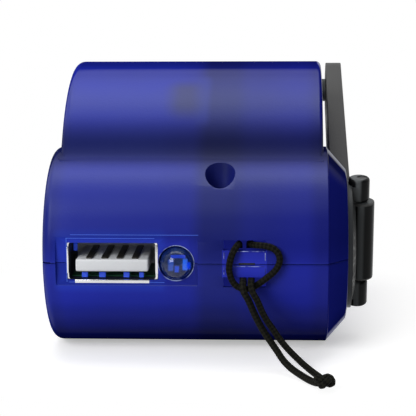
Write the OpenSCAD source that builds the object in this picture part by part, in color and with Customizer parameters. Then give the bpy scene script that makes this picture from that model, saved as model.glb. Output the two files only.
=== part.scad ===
// Hand crank phone charger: a two-drum case in two halves, a folding crank on its right
// side, a step-up gear train, a small generator, a circuit board with a USB-A socket and
// a wrist lanyard hitched to a bridge in the front. Millimetres, +X to the crank side,
// -Y to the socket side, +Z up, with the origin on the flat base at mid length.

/* [Case] */
// Length of the case from the socket face to the back
body_len = 57; // [55:0.5:62]
// Distance from the middle to the front drum's right end
half_w = 21.7; // [21:0.1:24]
// Radius of the front drum, which stands on the base plane
front_r = 15.6; // [15:0.1:17]
// Radius of the rear drum
rear_r = 24; // [23:0.25:26]
// Height of the rear drum's axis
rear_z = 19.4; // [19:0.1:21]
// How far the rear drum's left end stands in from the front drum's
tail_step_left = 1.45; // [1.2:0.05:2]
// How far the rear drum's right end stands in from the front drum's
tail_step_right = 0.7; // [0.6:0.1:1.2]
// Wall thickness of both case halves
wall = 1.6; // [1.2:0.1:1.8]
// Height of the crank boss above the right side
boss_h = 3; // [2.6:0.1:3.6]
// Radius of the flat face of the crank boss
boss_r = 11.9; // [11.7:0.1:12.4]

/* [Front] */
// Sideways place of the USB socket
usb_x = -11.3; // [-11.6:0.1:-10.8]
// Height of the socket's middle above the parting plane
usb_rise = 0.45; // [0.2:0.05:0.6]
// Sideways place of the indicator lamp
led_x = -1.5; // [-1.8:0.1:-1]
// Diameter of the indicator lamp
led_d = 5; // [4.6:0.1:5]
// Sideways place of the lanyard bridge
bridge_x = 8.9; // [8.8:0.1:9]
// Height of the lanyard bridge
bridge_h = 4.1; // [4:0.05:4.15]

/* [Crank] */
// Direction of the stored arm above the horizontal
arm_angle = 24.7; // [24:0.1:26]
// Free space between the knob's grip and the rear drum
knob_gap = 3.1; // [2.5:0.1:6]
// Thickness of the arm
arm_t = 2.8; // [2.4:0.1:2.9]
// Half of the arm's width at the knob
arm_half = 5.1; // [5:0.1:6]
// Direction of the folding hinge line, above the horizontal
hinge_angle = 100; // [97:1:106]
// Radius of the knob's grip
knob_r = 4.2; // [3.8:0.1:4.3]
// Length of the knob's grip
knob_len = 15.5; // [13:0.5:17]

/* [Gears] */
// Module of all teeth
tooth_m = 0.5; // [0.48:0.01:0.5]
// Teeth of the large wheels
wheel_z = 42; // [40:2:42]
// Teeth of the pinions
pinion_z = 12; // [12:1:12]
// Play between flanks at the pitch circle
backlash = 0.12; // [0.1:0.01:0.16]

/* [Hidden] */

$fn = 96;
lap = 0.02;
far = 200;

// The two drums and the parting plane.
front_y = -body_len / 2;
hub_y = front_y + front_r;
hub_z = front_r;
rear_y = body_len / 2 - rear_r;
part_z = front_r;
base_end = rear_y + sqrt(pow(rear_r, 2) - pow(rear_z, 2));
boss_x = half_w + boss_h;
front_left = half_w + 0.35;
tail_left = front_left - tail_step_left;
tail_right = half_w - tail_step_right;
front_edge = 1.5;
tail_edge_left = 1.3;
tail_edge_right = 0.8;

// Levels of the gear train along X.
outer_plate_x = tail_right - wall - 0.9;
outer_plate_t = 0.8;
drive_x = outer_plate_x - 2.6;
wheel_t = 2;
pinion_x = drive_x - 0.2;
pinion_t = wheel_t + 0.4;
second_x = pinion_x - 2.7;
inner_plate_x = second_x - 1.6;
plate_t = 1.2;
bulkhead_x = 2.6;
bulkhead_t = 1.8;
can_x = bulkhead_x + bulkhead_t;
can_len = inner_plate_x - can_x - 0.02;
can_wall = 0.6;

// Gear centres: crank, compound gear and rotor.
stage = tooth_m * (wheel_z + pinion_z) / 2;
turn_1 = 20;
turn_2 = 12;
comp_y = hub_y + stage * cos(turn_1);
comp_z = hub_z + stage * sin(turn_1);
rotor_y = comp_y + stage * cos(turn_2);
rotor_z = comp_z + stage * sin(turn_2);
shaft_r = 2;
axle_r = 1;
rotor_r = 1;
fit = 0.04;

// The generator fills what the rear drum leaves round the rotor.
can_room = 1.17;
can_r = rear_r - wall - can_room - norm([rotor_y - rear_y, rotor_z - rear_z]);
magnet_r = can_r / 2;
coil_gap = 0.5;
coil_in = magnet_r + coil_gap;
coil_out = can_r - can_wall - 0.2;

// Screw posts: one at the front, two at the back.
screw_x = 5;
screw_y = front_y + 6.7;
post_r = 3;
screw_bore_r = 2.33;
rear_screw_x = 14.6;
rear_screw_y = rear_y + 16;
SCREWS = [[screw_x, screw_y], [-rear_screw_x, rear_screw_y], [rear_screw_x, rear_screw_y]];
head_z = part_z + 5;
head_h = 1.4;
screw_len = 13;

// Socket, lamp and bridge.
usb_z = part_z + usb_rise;
usb_w = 13.9;
usb_h = 5.9;
usb_t = 0.3;
usb_depth = 13.5;
usb_front = front_y - 0.25;
board_t = 1.2;
board_top = usb_z - usb_h / 2 - 0.02;
flat_y = front_y + 0.5;
flat_left = usb_x - usb_w / 2 - 1.65;
flat_right = 1.8;
flat_half = 4.05;
dish_w = 6.5;
dish_r = 4.5;
dish_wall = 1.1;
bridge_t = 2.6;
bridge_split = 0.5;
led_z = part_z - 0.15;
led_hole_r = led_d / 2 + 0.2;

// Crank levels: hub disc, hinge line and arm.
hub_gap = 0.1;
hub_x = boss_x + hub_gap;
hub_t = 1.3;
hub_r = 10.3;
hub_rim_t = 0.7;
hub_top_r = 7.5;
collar_r = 3.4;
collar_x = boss_x - wall - 0.8;
hinge_x = boss_x + 2.5;
barrel_r = 2;
ear_r = 1.7;
ear_sink = 0.5;
ear_relief = 2.4;
// Ends of the barrel, the web and the two ears, measured along the hinge line.
BARREL = [-5.7, 7.3];
WEB = [BARREL[0] + 0.2, BARREL[1] - 0.2];
EARS = [[-10.5, -6.2], [7.5, 11.3]];
neck_half = 3.6;
NECK = [8, 16];
pin_r = 0.8;
web_half = 0.9;
arm_x = half_w + 0.9;
knob_axle_r = 1.5;
knob_start = tail_right + 0.3;
along_rear = (rear_y - hub_y) * cos(arm_angle) + (rear_z - hub_z) * sin(arm_angle);
beside_rear = (rear_z - hub_z) * cos(arm_angle) - (rear_y - hub_y) * sin(arm_angle);
arm_len = along_rear + sqrt(pow(rear_r + knob_r + knob_gap, 2) - pow(beside_rear, 2));
hinge_u = cos(hinge_angle - arm_angle);
hinge_v = sin(hinge_angle - arm_angle);

// Lays local +Z along X; local angles are then 90 degrees ahead of directions in YZ.
module along_x(x, y, z) {
    translate([x, y, z]) rotate([0, 90, 0]) children();
}

// Same, with local +Y turned to a direction in the YZ plane.
module toward(angle, x, y, z) {
    translate([x, y, z]) rotate([angle, 0, 0]) rotate([0, 90, 0]) children();
}

// Half profile of a drum from x0 to x1, with rounded rims of radius e0 and e1.
module drum_profile(r, x0, x1, e0, e1) {
    translate([0, x0]) square([r - e0, x1 - x0]);
    translate([0, x0 + e0]) square([r, x1 - x0 - e0 - e1]);
    translate([0, x1 - e1 - lap]) square([r - e1, e1 + lap]);
    translate([r - e0, x0 + e0]) circle(e0, $fn = 48);
    translate([r - e1, x1 - e1]) circle(e1, $fn = 48);
}

module drum(r, y, z, x0, x1, e0, e1) {
    along_x(0, y, z) rotate_extrude($fn = 180) drum_profile(r, x0, x1, e0, e1);
}

// Outside of the case, before it is cut at the base plane.
module outer_body() {
    drum(front_r, hub_y, hub_z, -front_left, half_w, front_edge, 0.3);
    drum(rear_r, rear_y, rear_z, -tail_left, tail_right, tail_edge_left, tail_edge_right);
    translate([-tail_left, hub_y, 0])
        cube([tail_left + tail_right, base_end - hub_y, part_z]);
    along_x(half_w - lap, hub_y, hub_z) cylinder(h = boss_h + lap, r1 = front_r, r2 = boss_r);
}

// Hollow of the case.
module inner_body() {
    drum(front_r - wall, hub_y, hub_z, -front_left + wall, half_w - wall, 0.8, 0.3);
    difference() {
        drum(rear_r - wall, rear_y, rear_z, -tail_left + wall, tail_right - wall, 1, 0.3);
        below(wall);
    }
    translate([-tail_left + wall, hub_y, wall])
        cube([tail_left + tail_right - 2 * wall, base_end - hub_y - wall, part_z]);
    along_x(half_w - wall - lap, hub_y, hub_z)
        cylinder(h = boss_h + lap, r1 = front_r - wall - 1, r2 = boss_r - wall);
}

module below(z) {
    translate([-far, -far, z - far]) cube([2 * far, 2 * far, far]);
}

module above(z) {
    translate([-far, -far, z]) cube([2 * far, 2 * far, far]);
}

// Thick front wall that the lanyard's dish is sunk into.
module bridge_pad() {
    along_x(bridge_x - dish_w / 2 - dish_wall, front_y, part_z)
        cylinder(h = dish_w + 2 * dish_wall, r = dish_r + dish_wall);
}

// Round dish behind the lanyard bridge, which stays across its mouth in two halves.
module bridge_dish() {
    difference() {
        along_x(bridge_x - dish_w / 2, front_y, part_z) cylinder(h = dish_w, r = dish_r);
        translate([bridge_x - dish_w, -far, part_z - bridge_h / 2])
            cube([2 * dish_w, far + front_y + bridge_t, bridge_h]);
    }
    translate([bridge_x - dish_w / 2, -far, part_z - bridge_split / 2])
        cube([dish_w, far + front_y + bridge_t + lap, bridge_split]);
}

// Everything cut through both halves from outside.
module front_cuts() {
    translate([usb_x - usb_w / 2 - 0.05, -far, usb_z - usb_h / 2 - 0.05])
        cube([usb_w + 0.1, far + front_y + 8, usb_h + 0.1]);
    translate([flat_left, -far, usb_z - flat_half])
        cube([flat_right - flat_left, far + flat_y, 2 * flat_half]);
    translate([led_x, front_y - 5, part_z]) rotate([-90, 0, 0])
        cylinder(h = 12, r = led_hole_r, $fn = 48);
    bridge_dish();
    along_x(boss_x - boss_h, hub_y, hub_z) cylinder(h = boss_h + 1, r = collar_r + 1.02);
}

module posts() {
    for (p = SCREWS)
        translate([p[0], p[1], 0]) cylinder(h = far, r = post_r, $fn = 48);
}

module case_half() {
    difference() {
        union() {
            difference() {
                outer_body();
                inner_body();
            }
            intersection() {
                outer_body();
                union() {
                    posts();
                    bridge_pad();
                }
            }
        }
        front_cuts();
    }
}

module upper_shell() color([0.12, 0.15, 0.5, 0.85]) {
    difference() {
        case_half();
        below(part_z);
        for (p = SCREWS) {
            translate([p[0], p[1], head_z]) cylinder(h = far, r = screw_bore_r, $fn = 48);
            translate([p[0], p[1], 0]) cylinder(h = far, r = 1.2, $fn = 32);
        }
    }
}

module lower_shell() color([0.08, 0.1, 0.4, 0.85]) {
    difference() {
        case_half();
        above(part_z);
        below(0);
        for (p = SCREWS)
            translate([p[0], p[1], part_z - 8.5]) cylinder(h = 20, r = 0.95, $fn = 32);
    }
}

// Cross-headed self-tapping screws that hold the two halves together.
module case_screws() color("silver") {
    for (p = SCREWS)
        translate([p[0], p[1], head_z]) difference() {
            union() {
                cylinder(h = head_h, r = 1.95, $fn = 32);
                translate([0, 0, 0.01 - screw_len]) cylinder(h = screw_len, r = 0.95, $fn = 32);
            }
            for (a = [0, 90])
                translate([0, 0, head_h]) rotate([0, 0, a]) cube([2, 0.45, 1.4], center = true);
        }
}

// Divider between the electronics and the generator.
module bulkhead() color([0.1, 0.1, 0.14]) {
    difference() {
        intersection() {
            union() {
                along_x(bulkhead_x, rear_y, rear_z) cylinder(h = bulkhead_t, r = rear_r - wall - 0.1);
                along_x(bulkhead_x, hub_y, hub_z) cylinder(h = bulkhead_t, r = front_r - wall - 0.1);
            }
            translate([-far, screw_y + post_r + 1.2, wall + 0.05]) cube([2 * far, far, far]);
        }
        along_x(bulkhead_x - 1, rotor_y, rotor_z) cylinder(h = 4, r = 2.4);
        along_x(bulkhead_x - 1, -6, 9.5) cylinder(h = 4, r = 2.2, $fn = 48);
    }
}

PILLARS = [[comp_y, comp_z + 13.2], [comp_y - 1, comp_z - 13.4], [rotor_y + 0.5, rotor_z - 15.4]];

// Outline of the two gear plates, in direction-true YZ coordinates.
module plate_outline() {
    translate([hub_y, hub_z]) circle(6);
    translate([comp_y, comp_z]) circle(4);
    translate([rotor_y, rotor_z]) circle(4);
    translate([hub_y, hub_z - 4]) square([rotor_y - hub_y, 8.5]);
    translate([comp_y, hub_z + 1]) square([rotor_y - comp_y, 9]);
    for (p = PILLARS)
        translate(p) circle(2.1, $fn = 48);
    translate([PILLARS[0][0] - 2.1, comp_z]) square([4.2, 13.2]);
    translate([PILLARS[1][0] - 2.1, PILLARS[1][1]]) square([4.2, 14]);
    translate([PILLARS[2][0] - 2.1, PILLARS[2][1]]) square([4.2, 14]);
}

// Extrudes an outline given in (Y, Z) from x to x + t.
module yz_extrude(x, t) {
    translate([x, 0, 0]) rotate([90, 0, 90]) linear_extrude(t) children();
}

module gear_plate_inner() color([0.55, 0.56, 0.58]) {
    difference() {
        yz_extrude(inner_plate_x, plate_t) plate_outline();
        along_x(inner_plate_x - 1, hub_y, hub_z) cylinder(h = 4, r = 3);
        along_x(inner_plate_x - 1, comp_y, comp_z) cylinder(h = 4, r = axle_r);
        along_x(inner_plate_x - 1, rotor_y, rotor_z) cylinder(h = 4, r = 2);
        for (p = PILLARS)
            along_x(inner_plate_x - 1, p[0], p[1]) cylinder(h = 4, r = 0.85, $fn = 32);
    }
}

module gear_plate_outer() color([0.55, 0.56, 0.58]) {
    difference() {
        yz_extrude(outer_plate_x, outer_plate_t) plate_outline();
        along_x(outer_plate_x - 1, hub_y, hub_z) cylinder(h = 4, r = shaft_r + 0.6);
        along_x(outer_plate_x - 1, comp_y, comp_z) cylinder(h = 4, r = axle_r);
        along_x(outer_plate_x - 1, rotor_y, rotor_z) cylinder(h = 4, r = 2);
        for (p = PILLARS)
            along_x(outer_plate_x - 1, p[0], p[1]) cylinder(h = 4, r = 0.85, $fn = 32);
    }
}

// Spacers between the gear plates.
module gear_pillars() color("silver") {
    for (p = PILLARS)
        along_x(inner_plate_x + plate_t, p[0], p[1]) difference() {
            cylinder(h = outer_plate_x - inner_plate_x - plate_t, r = 1.6, $fn = 48);
            translate([0, 0, -1]) cylinder(h = 20, r = 0.85, $fn = 32);
        }
}

// Long screws through the plates and pillars.
module gearbox_screws() color("gray") {
    for (p = PILLARS)
        along_x(inner_plate_x - 1, p[0], p[1]) {
            cylinder(h = 1, r = 1.6, $fn = 32);
            cylinder(h = outer_plate_x + outer_plate_t - inner_plate_x + 1, r = 0.8, $fn = 32);
        }
}

module ring(h, r_out, r_in) {
    difference() {
        cylinder(h = h, r = r_out);
        translate([0, 0, -1]) cylinder(h = h + 2, r = r_in);
    }
}

module boss_bush() color([0.72, 0.55, 0.3]) {
    along_x(collar_x, hub_y, hub_z) {
        ring(wall + 0.8, collar_r + 1, collar_r + fit);
        ring(0.8, collar_r + 2, collar_r + fit);
    }
}

module plate_bush() color([0.72, 0.55, 0.3]) {
    along_x(inner_plate_x, hub_y, hub_z) ring(plate_t, 3, shaft_r + fit);
}

// Teeth run from the root circle over an involute flank of four points.
function inv_deg(a) = tan(a) * 180 / PI - a;
function polar(r, a) = [r * cos(a), r * sin(a)];
function gear_points(z) =
    let (rp = tooth_m * z / 2, rb = rp * cos(20), ro = rp + 0.9 * tooth_m,
        rr = rp - 1.2 * tooth_m, half = 90 / z - backlash / rp * 90 / PI,
        r0 = max(rb, rr + 0.02), at = half + inv_deg(20))
    [for (t = [0:z - 1]) let (c = t * 360 / z)
        each concat([polar(rr, c - 1.04 * half - inv_deg(20))],
            [for (k = [0:3]) let (r = r0 + (ro - r0) * k / 3)
                polar(r, c - at + inv_deg(acos(min(1, rb / r))))],
            [for (k = [3:-1:0]) let (r = r0 + (ro - r0) * k / 3)
                polar(r, c + at - inv_deg(acos(min(1, rb / r))))],
            [polar(rr, c + 1.04 * half + inv_deg(20))])];

// A spur wheel with one tooth centred on the given direction.
module spur(z, t, x, y, z0, direction, bore) {
    toward(direction, x, y, z0) rotate([0, 0, 90]) difference() {
        linear_extrude(t) polygon(gear_points(z));
        translate([0, 0, -1]) cylinder(h = t + 2, r = bore, $fn = 48);
    }
}

module drive_gear() color("ivory") {
    spur(wheel_z, wheel_t, drive_x, hub_y, hub_z, turn_1, shaft_r);
}

module crank_shaft() color("silver") {
    along_x(inner_plate_x - 0.6, hub_y, hub_z)
        cylinder(h = hub_x - inner_plate_x + 0.6, r = shaft_r);
}

module compound_axle() color("silver") {
    along_x(inner_plate_x, comp_y, comp_z)
        cylinder(h = outer_plate_x + outer_plate_t - inner_plate_x, r = axle_r, $fn = 48);
}

module compound_gear() color("whitesmoke") {
    spur(pinion_z, pinion_t, pinion_x, comp_y, comp_z, turn_1 + 180 + 180 / pinion_z,
        axle_r + fit);
    spur(wheel_z, wheel_t, second_x, comp_y, comp_z, turn_2, axle_r + fit);
    along_x(second_x + wheel_t - lap, comp_y, comp_z)
        ring(pinion_x - second_x - wheel_t + 2 * lap, 2.2, axle_r + fit);
}

// Steel cup around the generator's coils, open to the bulkhead.
module generator_can() color([0.6, 0.62, 0.66]) {
    along_x(can_x + 1, rotor_y, rotor_z) difference() {
        cylinder(h = can_len - 1, r = can_r);
        translate([0, 0, -1]) cylinder(h = can_len - can_wall, r = can_r - can_wall);
        cylinder(h = 20, r = 2);
    }
}

module generator_cap() color([0.16, 0.16, 0.18]) {
    along_x(can_x, rotor_y, rotor_z) {
        ring(1, can_r, 2);
        translate([0, 0, 1]) ring(0.8, can_r - can_wall - 0.02, can_r - can_wall - 1);
    }
}

// Six copper coils in a circle around the rotor.
module stator_coils() color([0.72, 0.38, 0.16]) {
    for (a = [0:60:300])
        along_x(can_x + 2, rotor_y, rotor_z) rotate([0, 0, a]) intersection() {
            translate([coil_in, -0.45 * magnet_r, 0]) cube([coil_out - coil_in, 0.9 * magnet_r, 3.8]);
            cylinder(h = 4, r = coil_out);
        }
}

module generator_bushes() color([0.72, 0.55, 0.3]) {
    along_x(can_x, rotor_y, rotor_z) ring(1, 2, rotor_r + fit);
    along_x(can_x + can_len - can_wall, rotor_y, rotor_z)
        ring(can_wall + plate_t, 2, rotor_r + fit);
    along_x(outer_plate_x, rotor_y, rotor_z) ring(outer_plate_t, 2, rotor_r + fit);
}

module rotor_magnet() color([0.2, 0.2, 0.22]) {
    along_x(can_x + 1.6, rotor_y, rotor_z) ring(4, magnet_r, rotor_r);
}

module rotor_shaft() color("silver") {
    along_x(can_x - 0.5, rotor_y, rotor_z)
        cylinder(h = outer_plate_x + outer_plate_t - can_x + 0.5, r = rotor_r, $fn = 48);
}

module rotor_pinion() color([0.8, 0.65, 0.35]) {
    spur(pinion_z, pinion_t, second_x - 0.2, rotor_y, rotor_z,
        turn_2 + 180 + 180 / pinion_z, rotor_r);
}

wire_t = 0.6;
wire_x = -0.8;
wire_y = -6.6;
wire_z = 9.6;
wire_end_y = rotor_y - 4.6;
board_x0 = -tail_left + wall + 0.4;
board_x1 = screw_x - post_r - 0.4;
board_y0 = front_y + 3;
board_y1 = 6;
HOLES_Y = [board_y0 + 6, board_y1 - 3];

module circuit_board() color([0.08, 0.35, 0.16]) {
    difference() {
        translate([board_x0, board_y0, board_top - board_t])
            cube([board_x1 - board_x0, board_y1 - board_y0, board_t]);
        translate([led_x - led_d / 2 - 0.8, board_y0 - 1, 0]) cube([led_d + 1.6, 4.2, 40]);
        for (y = HOLES_Y)
            translate([board_x1 - 2, y, 0]) cylinder(h = 40, r = 0.8, $fn = 24);
    }
}

// A flat tube of the socket with lips that flare outward at the mouth.
module usb_shell() color([0.75, 0.77, 0.8]) {
    translate([usb_x, usb_front, usb_z]) {
        difference() {
            translate([-usb_w / 2, 0, -usb_h / 2]) cube([usb_w, usb_depth, usb_h]);
            translate([usb_t - usb_w / 2, -1, usb_t - usb_h / 2])
                cube([usb_w - 2 * usb_t, usb_depth + 1 - usb_t, usb_h - 2 * usb_t]);
        }
        for (s = [-1, 1])
            translate([s * (usb_w / 2 + 0.1), 0.15, 0]) cube([0.3, 0.3, 4.4], center = true);
        translate([0, 0.15, -usb_h / 2 - 0.1]) cube([11.4, 0.3, 0.3], center = true);
    }
}

tongue_w = 11.1;
tongue_t = 1.9;
tongue_z = usb_z - usb_h / 2 + usb_t + 0.85;

// Insulator: a back wall and the tongue that carries the contacts.
module usb_tongue() color("whitesmoke") {
    translate([usb_x, usb_front, 0]) {
        translate([-tongue_w / 2, 0.6, tongue_z]) cube([tongue_w, usb_depth - 1.5, tongue_t]);
        translate([usb_t - usb_w / 2, usb_depth - 3, usb_z - usb_h / 2 + usb_t])
            cube([usb_w - 2 * usb_t, 3 - usb_t, usb_h - 2 * usb_t]);
    }
}

module usb_contacts() color("gold") {
    for (x = [-3.5, -1.15, 1.15, 3.5])
        translate([usb_x + x - 0.5, usb_front + 1.2, tongue_z + tongue_t])
            cube([1, usb_depth - 4.4, 0.25]);
}

module indicator_led() color([0.35, 0.6, 0.95]) {
    translate([led_x, 0, led_z]) rotate([-90, 0, 0]) translate([0, 0, front_y]) {
        rotate_extrude($fn = 64) {
            intersection() {
                translate([0, 1.9]) circle(led_d / 2, $fn = 64);
                translate([0, -1]) square([led_d, 3]);
            }
            translate([0, 1.9]) square([led_d / 2, 3.6]);
        }
        intersection() {
            translate([0, 0, 4.5]) cylinder(h = 1, r = led_d / 2 + 0.4, $fn = 64);
            translate([-led_d / 2, -led_d, 0]) cube(2 * led_d);
        }
    }
}

module led_leads() color("silver") {
    for (s = [-1, 1])
        translate([led_x + s * 1.27, 0, 0]) {
            translate([-0.25, front_y + 5.5, led_z - 0.25]) cube([0.5, 2, 0.5]);
            translate([-0.25, front_y + 7, board_top]) cube([0.5, 0.5, led_z - board_top]);
        }
}

module capacitor() color([0.1, 0.12, 0.25]) {
    translate([-3.4, -8.5, board_top + 0.02]) {
        cylinder(h = 10.4, r = 3.1);
        translate([0, 0, 10.3]) cylinder(h = 0.3, r = 2.6);
    }
}

module inductor() color([0.15, 0.15, 0.16]) {
    translate([-12.5, -2, board_top + 0.02]) {
        cylinder(h = 0.9, r = 3.6);
        cylinder(h = 4.6, r = 2.4);
        translate([0, 0, 3.7]) cylinder(h = 0.9, r = 3.6);
    }
}

module rectifier_diodes() color([0.18, 0.18, 0.19]) {
    for (x = [-16.5, -12.5, -8.5])
        translate([x, -10, board_top + 1.32]) rotate([-90, 0, 0]) cylinder(h = 4, r = 1.3, $fn = 32);
}

module regulator_chip() color([0.1, 0.1, 0.1]) {
    translate([-6.8, 0, board_top + 0.02]) cube([5, 4, 1.5]);
}

// Three square-bent wires from the board, through the bulkhead, to the generator's rim.
module generator_wires() color("firebrick") {
    for (i = [0:2]) {
        lane_y = wire_y + i * 0.8;
        lane_x = can_x + 0.1 + (2 - i) * 0.8;
        drop = can_r - sqrt(pow(can_r, 2) - pow(rotor_y - wire_end_y - 0.3, 2));
        translate([wire_x, lane_y, wire_z]) cube([lane_x + wire_t - wire_x, wire_t, wire_t]);
        translate([wire_x, lane_y, wire_z]) cube([wire_t, wire_t, board_top - board_t - wire_z]);
        translate([lane_x, lane_y, wire_z]) cube([wire_t, wire_end_y + wire_t - lane_y, wire_t]);
        translate([lane_x, wire_end_y, wire_z])
            cube([wire_t, wire_t, rotor_z - can_r + drop - wire_z - 0.15]);
    }
}

// Disc on the shaft, raised in its middle, with two ears that carry the hinge pin.
module crank_hub() color([0.06, 0.06, 0.07]) {
    difference() {
        union() {
            along_x(hub_x, hub_y, hub_z) cylinder(h = hub_rim_t, r = hub_r, $fn = 120);
            along_x(hub_x + hub_rim_t - lap, hub_y, hub_z)
                cylinder(h = hub_t - hub_rim_t + lap, r1 = hub_r - 0.3, r2 = hub_top_r, $fn = 120);
            along_x(collar_x, hub_y, hub_z) cylinder(h = hub_x - collar_x + 0.1, r = collar_r);
            for (e = EARS)
                toward(hinge_angle, hinge_x - ear_sink, hub_y, hub_z) {
                    rotate([-90, 0, 0]) rotate_extrude($fn = 64)
                        drum_profile(ear_r, e[0], e[1], 0.5, 0.5);
                    translate([-ear_r, max(e[0] + 0.5, 1.2 - hub_r), hub_x - hinge_x + ear_sink])
                        cube([2 * ear_r, 2.1, hinge_x - ear_sink - hub_x]);
                }
        }
        toward(hinge_angle, hinge_x, hub_y, hub_z) {
            translate([0, BARREL[0] - 0.2, 0]) rotate([-90, 0, 0])
                cylinder(h = BARREL[1] - BARREL[0] + 0.4, r = barrel_r + 0.2, $fn = 64);
            translate([0, -20, 0]) rotate([-90, 0, 0]) cylinder(h = 40, r = pin_r, $fn = 48);
        }
        along_x(collar_x - 1, hub_y, hub_z)
            cylinder(h = hub_x - collar_x + 1, r = shaft_r, $fn = 48);
    }
}

// Clip on the shaft's inner end, behind the gear plate.
module shaft_clip() color("gray") {
    along_x(inner_plate_x - 0.6 - 1, hub_y, hub_z) cylinder(h = 1, r = 2.6, $fn = 48);
}

module hinge_pin() color("silver") {
    toward(hinge_angle, hinge_x, hub_y, hub_z) translate([0, EARS[0][0] + 0.1, 0])
        rotate([-90, 0, 0]) cylinder(h = EARS[1][1] - EARS[0][0] - 0.2, r = pin_r, $fn = 48);
}

// Side outline of the arm: distance from the crank's axis against height over the hinge.
ARM_SIDE = [[-1.2, web_half], [hub_r + 1.8, web_half],
    [hub_r + 3.8, arm_x + arm_t + 0.4 - hinge_x], [arm_len, arm_x + arm_t - hinge_x],
    [arm_len + 20, arm_x + arm_t - hinge_x], [arm_len + 20, arm_x - hinge_x],
    [front_r - 0.4, arm_x - hinge_x], [boss_r + 0.7, boss_x - hinge_x],
    [hub_r + 0.4, -web_half], [-1.2, -web_half]];

// The arm in plan: cut away beside the upper ear, with a round end at the knob.
module arm_plan() {
    polygon([WEB[0] * [hinge_u, hinge_v],
        WEB[1] * [hinge_u, hinge_v],
        WEB[1] * [hinge_u, hinge_v] + ear_relief * [hinge_v, -hinge_u],
        [NECK[0], neck_half],
        [NECK[1], neck_half],
        each [for (a = [90:-7.5:-90]) [arm_len + arm_half * cos(a), arm_half * sin(a)]]]);
}

module crank_arm() color([0.27, 0.27, 0.28]) {
    difference() {
        union() {
            intersection() {
                toward(arm_angle, hinge_x - 12, hub_y, hub_z) linear_extrude(24)
                    rotate([0, 0, 90]) arm_plan();
                toward(arm_angle, hinge_x, hub_y, hub_z) translate([-12, 0, 0])
                    rotate([90, 0, 90]) linear_extrude(24) polygon(ARM_SIDE);
            }
            toward(hinge_angle, hinge_x, hub_y, hub_z) translate([0, BARREL[0], 0])
                rotate([-90, 0, 0]) cylinder(h = BARREL[1] - BARREL[0], r = barrel_r, $fn = 64);
        }
        toward(hinge_angle, hinge_x, hub_y, hub_z) translate([0, 20, 0])
            rotate([90, 0, 0]) cylinder(h = 40, r = pin_r + 0.05, $fn = 48);
        toward(arm_angle, arm_x - 1, hub_y, hub_z) translate([0, arm_len, 0])
            cylinder(h = 6, r = knob_axle_r, $fn = 48);
    }
}

knob_end = knob_start - knob_len;

module at_knob(x) {
    toward(arm_angle, x, hub_y, hub_z) translate([0, arm_len, 0]) children();
}

module knob_axle() color("silver") {
    at_knob(knob_end + 1) cylinder(h = arm_x + arm_t - knob_end - 1.3, r = knob_axle_r, $fn = 48);
}

// A waisted grip that turns on its axle, with a thin collar next to the arm.
module crank_knob() color([0.07, 0.07, 0.08]) {
    at_knob(knob_end) difference() {
        union() {
            rotate_extrude($fn = 96) drum_profile(knob_r, 0, knob_len, 1.2, 0.8);
            translate([0, 0, knob_len - lap])
                cylinder(h = arm_x - knob_start - 0.15 + lap, r = 2.1, $fn = 48);
        }
        translate([0, 0, -1]) cylinder(h = knob_len + 5, r = knob_axle_r + fit, $fn = 48);
        translate([0, 0, -1]) cylinder(h = 2.2, r = 2.7, $fn = 48);
    }
}

module knob_clip() color("silver") {
    at_knob(knob_end + 0.4) cylinder(h = 0.6, r = 2.4, $fn = 48);
}

// A round cord swept along a route, turned as little as possible from ring to ring.
cord_r = 0.55;
cord_sides = 8;
function unit(v) = v / norm(v);
function tangent(p, i) = unit(p[min(i + 1, len(p) - 1)] - p[max(i - 1, 0)]);
function carried(n, t) = unit(n - (n * t) * t);
function normals(p) =
    [for (i = 0, n = carried([1, 0.2, 0.1], tangent(p, 0)); i < len(p);
        i = i + 1, n = i < len(p) ? carried(n, tangent(p, i)) : n) n];
function rings(p, r) =
    let (ns = normals(p))
    [for (i = [0:len(p) - 1]) let (t = tangent(p, i), n = ns[i], b = cross(t, n))
        for (k = [0:cord_sides - 1]) let (a = 360 * k / cord_sides)
            p[i] + r * (cos(a) * n + sin(a) * b)];
module cord(p, r) {
    n = cord_sides;
    last = (len(p) - 1) * n;
    polyhedron(points = rings(p, r), faces = concat(
        [[for (k = [n - 1:-1:0]) k], [for (k = [0:n - 1]) last + k]],
        [for (i = [0:len(p) - 2]) for (k = [0:n - 1])
            let (a = i * n + k, b = i * n + (k + 1) % n) each [[a, b, b + n], [a, b + n, a + n]]]));
}

// Route of the hitched half: out over the bridge, round, back in, down and away.
LOOP_ROUTE = [[8, -24.8, 15.6], [8, -24.9, 16.6], [8, -25.2, 17.6], [8, -26, 18.2],
    [8, -27.1, 18.4], [7.8, -28.2, 18.4], [7.3, -29.1, 17.8], [6.8, -29.3, 16.5],
    [6.6, -29.3, 15], [6.9, -29.3, 13.6], [7.6, -29.3, 12.5], [8.7, -29.3, 12],
    [9.9, -29.3, 12.1], [11.1, -29.3, 12.8], [12.4, -29.3, 13.8], [13.6, -29.3, 14.9],
    [14.2, -29.3, 16.2], [14, -29.2, 17.4], [13.2, -29.1, 18.2], [12.1, -28.8, 18.5],
    [11, -28.3, 18.5], [10.2, -27.4, 18.4], [9.7, -26.3, 18.4], [9.6, -25.2, 17.8],
    [9.6, -24.9, 16.7], [9.6, -24.8, 15.6], [9.7, -24.8, 14.6], [9.8, -25.2, 13.5],
    [9.9, -26, 12.7], [9.9, -27.2, 12.4], [9.9, -28.2, 12.6], [9.9, -29.1, 13.2],
    [9.9, -30.2, 13.3], [9.9, -31.1, 12.9], [10.2, -31.6, 12], [10.9, -31.6, 10.7],
    [11.6, -31.5, 9], [12.4, -31.4, 7.5], [13.3, -31.4, 6.2], [14.1, -31.5, 5],
    [15.2, -31.6, 3.6], [16.5, -31.9, 2.3], [17.9, -32.8, 1.2], [19.1, -34.6, 0.7],
    [20, -36.6, 0.6], [20.6, -38.7, 0.7], [20.8, -40.6, 1.1]];

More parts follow.
